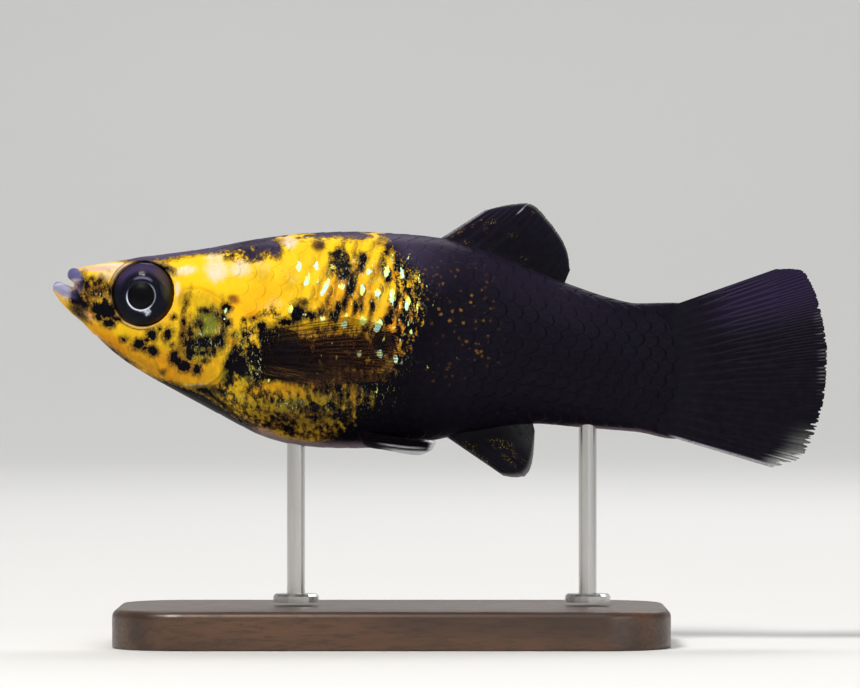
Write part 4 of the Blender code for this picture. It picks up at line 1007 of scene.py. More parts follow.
def fused_body():
    """The body with its lips as one even mesh of quads."""
    body = closed_tube(body_rings())
    cut = closed_tube(np.array([[(x, y, z) for x, z in MOUTH_CUT] for y in (-9.0, 9.0)]))
    boolean = body.modifiers.new("mouth", "BOOLEAN")
    boolean.operation = "DIFFERENCE"
    boolean.object = cut
    boolean.solver = "EXACT"
    shape = bmesh.new()
    shape.from_mesh(bpy.data.meshes.new_from_object(evaluated(body)))
    lip_sizes = ((UPPER_LIP, UPPER_LIP_RADIUS), (LOWER_LIP, LOWER_LIP_RADIUS))
    lips = [closed_tube(lip_rings(path, radius)) for path, radius in lip_sizes]
    for lip in lips:
        shape.from_mesh(lip.data)
    for v in shape.verts:
        if v.co.x > SQUEEZE_FROM_X:
            v.co.x = SQUEEZE_FROM_X + (v.co.x - SQUEEZE_FROM_X) / SQUEEZE
    joined = bpy.data.meshes.new("joined")
    shape.to_mesh(joined)
    shape.free()
    fused = add_object("fused", joined)
    remesh = fused.modifiers.new("fuse", "REMESH")
    remesh.mode = "VOXEL"
    remesh.voxel_size = VOXEL
    relax = fused.modifiers.new("relax", "SMOOTH")
    relax.factor = 0.5
    relax.iterations = 3
    points, quads = mesh_arrays(evaluated(fused).to_mesh())
    behind = points[:, 0] > SQUEEZE_FROM_X
    points[behind, 0] = SQUEEZE_FROM_X + (points[behind, 0] - SQUEEZE_FROM_X) * SQUEEZE
    for helper in (body, cut, fused, *lips):
        bpy.data.objects.remove(helper)
    return points, quads


def inside_outline(outline, px, py):
    """Which places lie inside a closed outline."""
    inside = np.zeros(px.shape, bool)
    ring = list(outline)
    for (ax, ay), (bx, by) in zip(ring, ring[1:] + ring[:1]):
        crosses = (ay > py) != (by > py)
        with np.errstate(divide="ignore", invalid="ignore"):
            inside ^= crosses & (px < (bx - ax) * (py - ay) / (by - ay) + ax)
    return inside


def relief(points):
    """How far the skin stands out or in, for its scale bed, gill covers, grooves and nostrils."""
    x, y, z = points.T
    px, py = to_photo(x, y, z)
    place = np.stack([px, py], axis=1)
    share = girth.share(x, y, z)
    bed = ease(*BED_FADE, x - smooth(SCALES_BEGIN, share)) * ease(*BED_END_X, x)
    height = -SCALE_BED * bed
    edge = path_distance(GILL_EDGE, place)
    inside = inside_outline(GILL_EDGE + GILL_FRONT, px, py)
    height += np.where(inside, GILL_RISE * ease(GILL_RISE_PIXELS, 1.0, edge), 0.0)
    furrow = FURROW_DEPTH * bump_of(edge - FURROW_PLACE, FURROW_WIDTH) * ease(*FURROW_FROM_PX, px)
    height -= np.where(inside, 0.0, furrow)
    on_head = x < GROOVES_END_X
    for path, width, depth in GROOVES:
        distance = path_distance(path, place) / PIXELS_PER_MM
        height -= np.where(on_head, depth * bump_of(distance, width), 0.0)
    for nostril_x, nostril_z in NOSTRIL_CENTRES:
        distance = np.hypot(x - nostril_x, z - nostril_z)
        height -= NOSTRIL_DEPTH * bump_of(distance, NOSTRIL_WIDTH)
        height += NOSTRIL_RIM * bump_of(distance - 2 * NOSTRIL_WIDTH, NOSTRIL_WIDTH * 0.7)
    return height


def eye_frame(side):
    """The eye's centre, the way it faces, and its fore-and-aft and upright axes."""
    toe, tilt = math.radians(EYE_TOE_DEG), math.radians(EYE_TILT_DEG)
    level = math.cos(tilt)
    facing = np.array((-math.sin(toe) * level, side * math.cos(toe) * level, math.sin(tilt)))
    aft = np.array((math.cos(toe), side * math.sin(toe), 0.0))
    up = np.cross(facing, aft) * -side
    x, y, z = EYE_CENTRE
    return np.array((x + EYE_SHIFT[0], side * y, z + EYE_SHIFT[1])), facing, aft, up


def set_eye_sockets(points):
    """Sinks the skin behind each eye and draws a thin fold round its rim."""
    for side, _ in SIDES:
        centre, facing, _, _ = eye_frame(side)
        apart = points - centre
        depth = apart @ facing
        radius = np.linalg.norm(apart - depth[:, None] * facing, axis=1)
        near = (radius < SOCKET_REACH) & (depth > SOCKET_BACK)
        dome = EYE_DEPTH * np.sqrt(np.clip(1 - (radius / EYE_RADIUS) ** 2, 0, 1))
        rim = np.maximum(depth, dome + RIM_OVER_EYE) + RIM_RISE * bump_of(radius - RIM_RADIUS, RIM_WIDTH)
        fold = depth + (rim - depth) * ease(*FOLD_FADE, radius)
        pit = fold + (PIT_DEPTH - fold) * ease(*PIT_EDGE, radius)
        moved = np.where(near, pit - depth, 0.0)
        points += moved[:, None] * facing


def flank_y(x, z):
    """How far the flank stands out from the middle at x and height z."""
    height, fullness = section_half(x, z)
    off = np.clip(np.abs(height), 0, 1) ** fullness
    return smooth(HALF_WIDTH, x) * (1 - off) ** (1 / fullness)


def build_skin(look):
    """One skin over all the flesh, sunk by the depth of the scales."""
    points, quads = fused_body()
    points += point_normals(points, quads) * relief(points)[:, None]
    set_eye_sockets(points)
    nodes = ("head", "lower_jaw", "upper_lip", "gill_cover_left", "gill_cover_right", "trunk", "tail_stalk")
    mesh_piece("skin", points, quads, look, paint(points), nodes=nodes)


# Scales
FIRST_COLUMN_X = -24.0
ROWS_EACH_WAY = 12
LAST_ROW_CLEAR = 0.3  # of a row's pitch, from the midline scales
BEHIND_LINE = 0.1  # how far behind the line where scales begin the first one has its middle
# Stretches of x on the back and on the belly where a fin leaves no room for scales on the midline
MIDLINE_FINS = ((1, -1.4, 10.0), (-1, -0.6, 7.6))
GIRTH_WIDEST_X, GIRTH_SOFTNESS = -8.0, 0.4


def girth_share(x):
    """How much of its greatest size the body's girth has at x, softened for the size of scales."""
    whole = girth.length(x) + girth.length(x, upper=False)
    largest = girth.length(GIRTH_WIDEST_X) + girth.length(GIRTH_WIDEST_X, upper=False)
    return (whole / largest) ** GIRTH_SOFTNESS


def on_body(x, arc, grow):
    """Points of the right flank at x and at an arc from mid flank, passing over both midlines."""
    up, down = girth.length(x), girth.length(x, upper=False)
    over, under = arc > up, arc < -down
    folded = np.where(over, 2 * up - arc, np.where(under, -2 * down - arc, arc))
    share = np.where(folded > 0, folded / up, folded / down)
    y, z = body_section(x, girth.turn(x, share), grow)
    return np.stack([x, np.where(over | under, -y, y), z], axis=-1)


def scale_places():
    """x, row and midline (0, 1 back, -1 belly) of one flank's scales, and of those on the midlines."""
    columns = [FIRST_COLUMN_X]
    while columns[-1] < SCALES_END_X:
        columns.append(columns[-1] + SCALE_PITCH * float(girth_share(columns[-1])) ** 0.5)
    columns = np.array(columns)
    between = (columns[1:] + columns[:-1]) / 2
    flank, middle = [], []
    for row in range(-ROWS_EACH_WAY, ROWS_EACH_WAY + 1):
        for x in columns if row % 2 == 0 else between:
            arc = row * ROW_PITCH * girth_share(x)
            length = girth.length(x, upper=row > 0)
            if abs(arc) > length - LAST_ROW_CLEAR * ROW_PITCH or x > SCALES_END_X:
                continue
            if x > smooth(SCALES_BEGIN, arc / length) + BEHIND_LINE:
                flank.append((x, row, 0))
    for end, fin_front, fin_rear in MIDLINE_FINS:
        for x in columns:
            if x > smooth(SCALES_BEGIN, float(end)) + BEHIND_LINE and not fin_front < x < fin_rear:
                middle.append((x, 0, end))
    return np.array(flank), np.array(middle[:-1])


# How far a scale's corners lie in front of its hindmost point, of a pitch, and how squarely it ends
SCALE_ROUNDING, SCALE_SQUARENESS = 1.05, 2.3
SCALE_TURN_SPREAD, SCALE_PITCH_SPREAD = 0.025, 0.015
SCALE_RAISED, SCALE_RAISED_BEHIND = 0.42, 0.13  # of the rise, and how much more behind the shoulder
SCALE_DISH, SCALE_SWELL = 0.025, 0.012
SCALE_TAPER, TAPER_LOST_BEHIND, TAPER_ON_REAR = 0.88, 0.2, 0.27
BEHIND_SHOULDER_X, REAR_X, REAR_TAPER_X = (-15.5, -5.0), (-4.0, 4.0), (-3.0, 6.0)
SHARP_FROM_X = -4.0
# Middle and half size, in pixels, of the lively patch of the flank, and where it fades
LIVELY_MIDDLE, LIVELY_SIZE, LIVELY_FADE = (366, 300), (72, 66), (1.25, 0.6)
LIVELY_FLANK_Y = 4.0
# The layout of the bake's picture: its margin, the arc it holds and that arc's share of it
BAKE_MARGIN, BAKE_ARC, BAKE_SHARE = 0.02, 54.0, 0.45


def scale_sheets(places, turn, uneven, a, b):
    """Both sides of some scales, their x and arcs, and each point's way aft and round from mid scale."""
    at, row, midline = (places[:, i, None, None] for i in range(3))
    size = girth_share(at)
    pitch = SCALE_PITCH * size**0.5 * uneven
    hind = pitch * (SCALE_REACH - SCALE_ROUNDING * np.abs(b) ** SCALE_SQUARENESS)
    u = -SCALE_ROOT * pitch + (hind + SCALE_ROOT * pitch) * a
    v = b * SCALE_BREADTH / 2 * size * (0.85 + 0.15 * a) + turn * u
    x = at + u
    arc = row * ROW_PITCH * girth_share(x) + v
    arc = np.where(midline > 0, girth.length(x) + v, arc)
    arc = np.where(midline < 0, v - girth.length(x, upper=False), arc)
    behind, rear = ease(*BEHIND_SHOULDER_X, at), ease(*REAR_X, at)
    rise = SCALE_RISE * (SCALE_RAISED * (1 - rear) + SCALE_RAISED_BEHIND * behind)
    top = -rise * (1 - a) - (1 - rear) * (SCALE_DISH * b**2 - SCALE_SWELL * np.sin(math.pi * a))
    taper = SCALE_TAPER - TAPER_LOST_BEHIND * behind + TAPER_ON_REAR * ease(*REAR_TAPER_X, at)
    under = top - SCALE_THICKNESS * (1 - taper * a**3)
    return np.stack([on_body(x, arc, grow) for grow in (top, under)], axis=1), x, arc, u, v


def scale_faces(count, grid, mirrored):
    """The quads of the upper sides and edges of some scales, and the one broad face under each."""
    rows, columns = grid
    sheet = rows * columns
    rim = rim_of_grid(rows, columns)
    after = np.roll(rim, -1)
    wall = np.stack([after, rim, rim + sheet, after + sheet], axis=1)
    turned = slice(None, None, -1 if mirrored else 1)
    first = (np.arange(count) * 2 * sheet)[:, None, None]
    faces = (np.concatenate([grid_faces(rows, columns), wall])[:, turned][None] + first).reshape(-1, 4)
    return faces, (rim[::-1][turned] + sheet)[None] + first[:, :, 0]


def mark_scales(values, tone, lucky, lively, u, v):
    """Gives each scale its own tone, and on the lively patch a painted glint, a bright stroke for the scale's
    reflection, in a rusty border.
    """
    values["dark"] += np.where(values["dark"] < 0.8, 0.5 * (tone - 0.5) * values["mottle"], 0.0)
    from_stroke = u - 0.25 - 0.3 * v
    # a painted glint, a bright stroke across each scale
    stroke = bump_of(from_stroke, 0.12) * bump_of(v - 0.1, 0.5)
    border = (0.55 + 0.45 * ease(0.2, 0.9, lucky)) * lively
    border *= ease(0.16, 0.5, np.abs(from_stroke)) * ease(-0.6, 0.0, u)
    values["rust"] = np.maximum(values["rust"], 0.85 * border)
    values["dark"] += np.where(values["dark"] < 0.3, 0.34 * border, 0.0)
    values["glint"] = np.maximum(values["glint"], 0.62 * stroke * lively * ease(0.3, 0.8, tone))
    values["olive"] = np.clip(values["olive"] + 0.22 * (tone - 0.5), 0, 1)


def scale_piece(name, places, side, look, rng, grid):
    """Thin overlapping plates, each closed, that rise from the skin towards their round hind edges."""
    rows, columns = grid
    count = len(places)

    def spread(numbers):
        return np.broadcast_to(numbers[:, None], (count, 2, rows, columns)).ravel()

    tone = rng.uniform(0, 1, (count, 1, 1))
    turn = rng.normal(0, SCALE_TURN_SPREAD, (count, 1, 1))
    uneven = rng.normal(1, SCALE_PITCH_SPREAD, (count, 1, 1))
    lucky = rng.uniform(0, 1, (count, 1, 1))
    a = np.linspace(0, 1, rows)[None, :, None]
    b = np.sin(np.linspace(-0.5, 0.5, columns) * math.pi)[None, None, :]
    sheets, x, arc, u, v = scale_sheets(places, turn, uneven, a, b)
    sheets[..., 1] *= side
    heights = sheets[:, 0, rows // 2, columns // 2, 2]
    px, py = to_photo(places[:, 0], LIVELY_FLANK_Y, heights)
    from_middle = np.hypot((px - LIVELY_MIDDLE[0]) / LIVELY_SIZE[0], (py - LIVELY_MIDDLE[1]) / LIVELY_SIZE[1])
    lively = ease(*LIVELY_FADE, from_middle)[:, None, None]
    points = sheets.reshape(-1, 3)
    values = paint(points)
    mark_scales(values, *(spread(numbers) for numbers in (tone, lucky, lively, u, v)))
    middle = slice(columns // 2, columns // 2 + 1)
    along = (x[:, :1, middle] - SNOUT_TIP_X) / (STALK_TIP_X - SNOUT_TIP_X)
    uv_u = BAKE_MARGIN + (1 - 2 * BAKE_MARGIN) * along + (a - 0.5) * BAKE_PATCH
    uv_v = 0.25 + 0.5 * (side > 0) + arc[:, :1, middle] / BAKE_ARC * BAKE_SHARE + b / 2 * BAKE_PATCH
    faces, unders = scale_faces(count, grid, side < 0)
    on_edge = np.arange(len(faces) // count) >= (rows - 1) * (columns - 1)
    sharp = np.concatenate([(on_edge & (places[:, :1] > SHARP_FROM_X)).ravel(), np.ones(count, bool)])
    uv = np.stack([spread(uv_u), spread(uv_v)], axis=-1)
    mesh_piece(name, points, [faces, unders], look, values, uv, sharp=sharp)


def build_scales(look):
    """Scales over both flanks and along the midlines, finer where they carry markings."""
    rng = np.random.default_rng(11)
    flank, middle = scale_places()
    marked = flank[:, 0] < MARKED_TO_X
    parts = (("front", flank[marked], MARKED_SCALE_GRID), ("rear", flank[~marked], SCALE_GRID))
    for side, word in SIDES:
        for part, places, grid in parts:
            pieces = math.ceil(len(places) * 2.3 * grid[0] * grid[1] / MOST_TRIANGLES)
            for number, some in enumerate(np.array_split(places, pieces), 1):
                scale_piece(f"scales_{word}_{part}_{number}", some, side, look, rng, grid)
    scale_piece("scales_midline", middle, -1, look, rng, SCALE_GRID)


# Eyes
PUPIL_RADIUS = 1.14
PUPIL_SHIFT = (-0.08, -0.22)  # aft and up
# radius, depth in front of the eye's middle: the lens in the pupil, then the iris out to the rim
EYE_PROFILE = (
    (0.0, 0.9), (0.6, 0.84), (1.0, 0.7), (1.14, 0.64), (1.25, 0.61), (1.5, 0.58), (2.0, 0.48),
    (2.45, 0.25), (2.64, 0.0), (2.5, -0.3),
)
# aft, up and width of the silvery flecks below the pupil
EYE_GLINTS = (
    (0.12, -1.42, 0.1), (0.32, -1.5, 0.14), (0.5, -1.62, 0.15), (0.58, -1.4, 0.09), (0.4, -1.78, 0.08),
    (0.7, -1.52, 0.07), (-0.1, -1.48, 0.07),
)


EYE_ROWS, EYE_AROUND, CORNEA_ROWS = 72, 96, 48
IRIS_FRONT_SHARE = 0.93  # of the profile's rows; the others turn in behind the rim
SMALLEST_RING = 0.004
IRIS_DEEP, IRIS_BLUE = (0.0022, 0.0026, 0.006), (0.006, 0.006, 0.019)
# Marks of the iris and their colours, from the lowest to the topmost
IRIS_LAYERS = (
    ("purple", (0.055, 0.035, 0.105)), ("olive", (0.075, 0.058, 0.012)), ("brown", (0.075, 0.035, 0.018)),
    ("arc", (0.22, 0.19, 0.33)), ("ring", (0.80, 0.86, 1.0)), ("pupil", (0.0012, 0.0012, 0.002)),
)


def eye_look():
    """A blue-black iris with its ring, its tints and the pupil."""
    g = Graph("molly_iris", Specular_IOR_Level=0.05)
    colour = g.mix(g.step(g.noise(5.0, 3.0), 0.4, 0.7), IRIS_DEEP, IRIS_BLUE)
    for mark, tint in IRIS_LAYERS:
        colour = g.mix(g.value(mark), colour, tint)
    return g.finish(colour, g.step(g.value("pupil"), 0.2, 0.8, 0.5, 0.4))


def cornea_look():
    """A clear coat that only shines."""
    g = Graph("molly_cornea")
    clear = g.node("BsdfTransparent", {})
    gloss = g.node("BsdfGlossy", {"Roughness": 0.03})
    share = g.node("Fresnel", {"IOR": 1.17})
    surface = g.node("MixShader", {0: share.outputs[0], 1: clear.outputs[0], 2: gloss.outputs[0]})
    g.tree.links.new(surface.outputs[0], g.output.inputs["Surface"])
    g.tree.nodes.remove(g.shader)
    return g.material


def iris_marks(r, turn, aft, up, front):
    """The marks of an iris by radius and turn, which starts aft and passes over the top."""

    def towards(degrees, low, high):
        return ease(low, high, np.cos(np.radians(turn - degrees)))

    from_pupil = r - PUPIL_RADIUS
    bright = np.maximum(0.02 + 0.98 * towards(245, -0.1, 0.75), 0.3 * towards(5, 0.5, 0.9))
    flecks = [bump_of(np.hypot(aft - at_aft, up - at_up), width) for at_aft, at_up, width in EYE_GLINTS]
    ring = bright * bump_of(from_pupil - 0.06, 0.03 + 0.035 * bright)
    marks = {
        "pupil": ease(0.03, -0.03, from_pupil),
        "ring": np.maximum(ring, 0.9 * np.max(flecks, axis=0)) * front,
        "purple": 0.65 * towards(90, 0.1, 0.75) * ease(1.75, 2.1, r) * ease(2.62, 2.5, r),
        "olive": 0.5 * towards(25, 0.65, 0.95) * ease(1.7, 2.1, r),
        "brown": 0.8 * towards(-15, 0.1, 0.9) * ease(2.3, 2.5, r),
        "arc": 0.75 * towards(85, 0.8, 0.97) * bump_of(r - 1.5, 0.07),
    }
    return {name: numbers.ravel() for name, numbers in marks.items()}


def build_eyes():
    """An iris with its pupil behind a clear cornea, on each side."""
    profile = [(share, *row) for share, row in zip(np.linspace(0, 1, len(EYE_PROFILE)), EYE_PROFILE)]
    path = np.linspace(0, 1, EYE_ROWS)[:, None]
    radius, depth = np.moveaxis(smooth(profile, path), -1, 0)
    radius = np.maximum(radius, SMALLEST_RING)
    angle = np.linspace(0, 2 * math.pi, EYE_AROUND, endpoint=False)[None, :]
    shift = ease(2.5, 1.2, radius)
    iris_aft = radius * np.cos(angle) + PUPIL_SHIFT[0] * shift
    iris_up = radius * np.sin(angle) + PUPIL_SHIFT[1] * shift
    marks = iris_marks(radius + 0 * angle, np.degrees(angle), iris_aft, iris_up, path < IRIS_FRONT_SHARE)
    polar = np.linspace(0.002, math.pi - 0.002, CORNEA_ROWS)[:, None]
    dome, ring = EYE_DEPTH * np.cos(polar), EYE_RADIUS * np.sin(polar)
    layers = (
        ("eye_iris_", depth, iris_aft, iris_up, eye_look(), marks),
        ("eye_cornea_", dome, ring * np.cos(angle), ring * np.sin(angle), cornea_look(), None),
    )
    for side, word in SIDES:
        centre, facing, aft, up = eye_frame(side)
        for name, out, by_aft, by_up, look, values in layers:
            points = centre + out[..., None] * facing + by_aft[..., None] * aft + by_up[..., None] * up
            faces = grid_faces(*by_aft.shape, closed=True)[:, :: side]
            mesh_piece(
                name + word, points.reshape(-1, 3), faces, look, values,
                nodes=("eye_" + word,),
            )


# Fins
# rays, columns a ray, rows, half thickness at root and of the skin, height of a ray, where rays fork
FIN_BUILD = {
    "tail": (17, 20, 84, 0.66, 0.07, 0.065, (0.3, 0.6), -0.09),
    "back": (10, 18, 48, 0.3, 0.06, 0.04, (0.45, 0.75), -0.05),
    "anal": (9, 18, 44, 0.3, 0.06, 0.045, (0.45, 0.75), -0.05),
    "pectoral": (11, 28, 60, 0.2, 0.035, 0.055, (0.35, 0.65), -0.02),
    "pelvic": (6, 16, 40, 0.14, 0.06, 0.06, (0.45, 2.0), -0.05),
}


def along_guides(guides, share, along):
    """x and the other measure of a fin's guides, at a share of its edge and of the way from root to tip."""
    root_x, root, tip_x, tip = np.moveaxis(smooth(guides, share), -1, 0)
    return root_x + (tip_x - root_x) * along, root + (tip - root) * along


def median_sheet(guides, sway):
    """The middle surface of a fin that stands on the midline."""

    def sheet(share, along):
        x, z = along_guides(guides, share, along)
        return np.stack([x, sway(share, np.maximum(along, 0)), z], axis=-1)

    return sheet


def pectoral_sheet(side):
    """The middle surface of a breast fin, which spreads out from the flank."""

    def sheet(share, along):
        x, z = along_guides(PECTORAL_GUIDES, share, along)
        near, far = PECTORAL_STAND_OFF
        off = near + (far - near) * np.maximum(along, 0) ** PECTORAL_SPREAD_POWER
        off = off - PECTORAL_ROOT_DEPTH * ease(0.12, 0.0, along)
        return np.stack([x, side * (flank_y(x, z) + off), z], axis=-1)

    return sheet


def pelvic_sheet(side):
    """The middle surface of a belly fin, folded back along the belly."""

    def sheet(share, along):
        x, turn = along_guides(PELVIC_GUIDES, share, along)
        near, far = PELVIC_STAND_OFF
        y, z = body_section(x, 270.0 + side * turn, near + (far - near) * along)
        return np.stack([x, y, z], axis=-1)

    return sheet


FORK_LENGTH = 0.22
FORK_SPREADS = (0.25, 0.125)  # of a ray's breadth, at the first and the second fork
RAY_WIDTH, RAY_NARROWED = 0.17, (0.06, 0.045)
FIN_UNEVEN, KNOTS_A_RAY = 0.006, 4
ROOT_END, RAYS_RISE, EDGE_THINS = (0.28, 0.0), (0.04, 0.34), (1.0, 0.96)


def ray_ridges(rays, forks, share, along):
    """1 on the crests of the rays, which fork twice, and a soft fall to 0 between them."""
    first, second = (ease(fork, fork + FORK_LENGTH, along) for fork in forks)
    cell = (share * rays) % 1.0 - 0.5
    near, far = FORK_SPREADS
    branches = [np.abs(cell - near * i * first - far * j * second) for i in (-1, 1) for j in (-1, 1)]
    return bump_of(np.min(branches, axis=0), RAY_WIDTH - RAY_NARROWED[0] * first - RAY_NARROWED[1] * second)


def fin_reach(rays, share, edge_ridge, frays, notch, seed):
    """How far out the edge of a fin lies, of its whole length: notched, uneven and frayed."""
    knots = np.random.default_rng(seed).uniform(-1, 1, rays * KNOTS_A_RAY + 1)
    uneven = np.interp(share, np.linspace(0, 1, len(knots)), knots)
    reach = 1 - notch * (1 - edge_ridge) + FIN_UNEVEN * uneven
    for place, depth, spread in frays:
        reach = reach - depth * bump_of(share - place, spread)
    return np.minimum(reach, 1.0)


def fin_piece(name, kind, sheet, look, colours, node, seed, frays=(), notch=0.03):
    """A thin closed fin with raised, forking rays whose tips stand past the skin between them."""
    rays, columns, rows, root_half, skin_half, ray_height, forks, start = FIN_BUILD[kind]
    if not FINE:
        columns, rows = columns // 2, rows // 2
    share = np.linspace(0, 1, rays * columns + 1)[None, :]
    along = start + (1 - start) * np.linspace(0, 1, rows)[:, None] ** 0.9
    out = np.maximum(along, 0)
    ridge = ray_ridges(rays, forks, share, along)
    reach = fin_reach(rays, share, ridge[-1:], frays, notch, seed)
    stretched = np.where(along > 0, along * (1 - (1 - reach) * out**2), along)
    middle = sheet(np.broadcast_to(share, stretched.shape), stretched)
    facing = np.array((0.0, 1.0, 0.0))
    if kind in ("pectoral", "pelvic"):
        facing = np.cross(np.gradient(middle, axis=1), np.gradient(middle, axis=0))
        facing /= np.maximum(np.linalg.norm(facing, axis=-1), 1e-9)[..., None]
    half = skin_half + (root_half - skin_half) * ease(*ROOT_END, out)
    half = half + ray_height * ridge * ease(*RAYS_RISE, out) * (1 - 0.55 * out)
    half = half * (0.25 + 0.75 * ease(*EDGE_THINS, out))
    points = np.stack([middle + facing * half[..., None], middle - facing * half[..., None]]).reshape(-1, 3)
    face, rim, sheet_size = grid_faces(*ridge.shape), rim_of_grid(*ridge.shape), ridge.size
    after = np.roll(rim, -1)
    wall = np.stack([rim, after, after + sheet_size, rim + sheet_size], axis=1)
    faces = np.concatenate([face[:, ::-1], face + sheet_size, wall])
    whole_share, whole_out = (np.broadcast_to(numbers, ridge.shape) for numbers in (share, out))
    values = colours(whole_share, whole_out, ridge, middle)
    values.update(ridge=ridge, along=whole_out)
    values = {key: np.tile(numbers.ravel(), 2) for key, numbers in values.items()}
    mesh_piece(name, points, faces, look, values, nodes=(node,))


FIN_VIOLET, FIN_GOLD = (0.006, 0.0045, 0.011), (0.34, 0.24, 0.03)
FIN_PALE, FIN_CORNER = (0.52, 0.50, 0.54), (0.30, 0.32, 0.30)
CLEAR_SKIN, CLEAR_GOLD, CLEAR_PALE = (0.014, 0.007, 0.005), (0.42, 0.21, 0.03), (0.80, 0.82, 0.88)
RAY_DARK, RAY_BROWN = (0.006, 0.0035, 0.004), (0.085, 0.028, 0.009)
ROOT_BLACK, ROOT_GREY = (0.0025, 0.0018, 0.0035), (0.012, 0.008, 0.011)


def dark_fin_look():
    """Black fin skin with a painted violet sheen, brighter on the rays, gold specks, pale ray tips and
    corners that thin out.
    """
    g = Graph("molly_dark_fin", Specular_IOR_Level=0.07)
    middle, fine = g.noise(1.6, 3.0, 0.6), g.noise(6.0, 3.0, 0.6)
    colour = g.mix(g.step(middle, 0.35, 0.7, 0.0, 0.5), BLACK, FIN_VIOLET)
    # painted sheen, brighter on the crests of the rays
    sheen = g.times(g.value("sheen"), g.step(g.value("ridge"), 0.0, 1.0, 0.35, 1.0))
    colour = g.mix(sheen, colour, FIN_SHEEN)
    dots = g.step(g.cells(6.5), 0.4, 0.24)
    gold = g.times(g.value("gold"), g.times(dots, g.step(fine, 0.42, 0.56)))
    colour = g.mix(gold, colour, FIN_GOLD)
    pale = g.times(g.value("pale"), g.step(fine, 0.25, 0.5))
    colour = g.mix(pale, colour, FIN_PALE)
    thin = g.times(g.value("thin"), g.step(g.value("ridge"), 0.1, 0.9, 1.0, 0.6))
    colour = g.mix(g.times(g.value("thin"), 0.7), colour, FIN_CORNER)
    alpha = g.math("SUBTRACT", 1.0, thin, clamp=True)
    joints = g.node("TexWave", {"Vector": g.place, "Scale": 0.9 * PER_MM, "Distortion": 2.0}).outputs["Fac"]
    height = g.scaled(joints, g.times(g.value("ridge"), 0.3), fine)
    return g.finish(colour, g.step(fine, 0.3, 0.7, 0.34, 0.5), g.bump(height, 0.025, 0.4), alpha)


def clear_fin_look():
    """Thin amber fin skin between brown rays, dark at the root."""
    g = Graph("molly_clear_fin", Specular_IOR_Level=0.03)
    fine = g.noise(5.0, 3.0, 0.6)
    ray = g.step(g.value("ridge"), 0.25, 0.85)
    shade = g.step(g.noise(0.9, 3.0, 0.6), 0.35, 0.6)
    outer = g.step(g.value("along"), 0.2, 0.5, 0.3, 1.0)
    colour = g.mix(ray, CLEAR_SKIN, g.mix(g.times(shade, outer), RAY_DARK, RAY_BROWN))
    colour = g.mix(g.value("dark"), colour, g.mix(g.step(fine, 0.5, 0.7), ROOT_BLACK, ROOT_GREY))
    colour = g.mix(g.value("gold"), colour, CLEAR_GOLD)
    colour = g.mix(g.value("pale"), colour, CLEAR_PALE)
    film = g.times(g.step(g.noise(1.5), 0.3, 0.7, 0.06, 0.22), g.step(g.value("along"), 0.1, 0.5, 0.3, 1.0))
    alpha = g.math("MAXIMUM", film, g.times(ray, 0.55))
    alpha = g.math("MAXIMUM", alpha, g.math("MAXIMUM", g.value("dark"), g.times(g.value("gold"), 0.8)))
    alpha = g.math("MAXIMUM", alpha, g.value("pale"), clamp=True)
    return g.finish(colour, g.step(fine, 0.3, 0.7, 0.4, 0.55), g.bump(fine, 0.004, 0.1), alpha)


# Gold spots of the back and anal fins, as in the tables of marks
BACK_FIN_SPOTS = (
    (483, 222, 6, 3, 20, 1.0), (492, 222, 4, 3, 0, 1.0), (473, 226, 3, 2, 0, 0.8), (486, 230, 3, 3, 0, 0.9),
    (467, 242, 2.5, 3, 0, 0.9), (533, 213, 2, 2, 0, 1.0), (458, 233, 8, 3, -35, 0.7),
    (489, 251, 2, 2, 0, 0.8), (512, 235, 6, 3, 0, 0.35), (525, 258, 8, 3, 0, 0.3),
)
ANAL_FIN_SPOTS = (
    (501, 444, 14, 6, 15, 0.95), (468, 446, 9, 3, 50, 0.8), (484, 460, 14, 3, 48, 0.7),
    (508, 460, 12, 3, 45, 0.5), (475, 447, 4, 3, 0, 0.5), (520, 460, 9, 2.5, 25, 0.35),
    (512, 452, 6, 3, 20, 0.4),
)


def tail_colours(share, along, ridge, middle):
    """Black with a painted violet sheen on the upper half, pale ray tips and a thin, torn lower corner."""
    corner = ease(0.76, 0.96, share) * ease(0.8, 1.0, along + 0.08 * (share - 0.8))
    broad = np.sin(share * 190 + 3 * np.sin(share * 57))
    fine = np.sin(share * 410 + 5 * np.sin(share * 83))
    streaks = 0.5 + 0.25 * (broad + fine)
    tips = ease(0.93, 0.975, along) * ease(0.28, 0.36, share) * ease(0.7, 0.6, share) * ease(0.7, 0.95, ridge)
    tips = tips * ease(0.35, 0.6, streaks)
    edge = ease(0.02, 0.008, 1 - share) * ease(0.0, 0.1, along)
    return {
        "thin": np.clip(corner * (0.4 + 0.5 * streaks), 0, 0.92),
        "pale": np.maximum(0.2 * tips, 0.6 * edge),
        "sheen": np.clip(ease(0.42, 0.12, share) * ease(0.15, 0.6, along) + 0.06, 0, 1),
        "gold": 0 * share,
    }


def back_fin_colours(share, along, ridge, middle):
    """Black with a pale leading edge, one pale ray tip and gold spots at the root."""
    leading = ease(0.035, 0.005, share) * ease(0.1, 0.3, along)
    streak = bump_of(share - 0.27, 0.006) * ease(0.78, 0.86, along)
    return {
        "thin": 0.35 * ease(0.95, 1.0, along),
        "pale": np.maximum(0.45 * leading, 0.7 * streak * ease(0.2, 0.6, ridge)),
        # painted sheen, towards the leading edge and the tip
        "sheen": 0.25 * ease(0.5, 0.0, share) + 0.15 * ease(0.6, 1.0, along),
        "gold": wash(BACK_FIN_SPOTS, *to_photo(*np.moveaxis(middle, -1, 0))),
    }


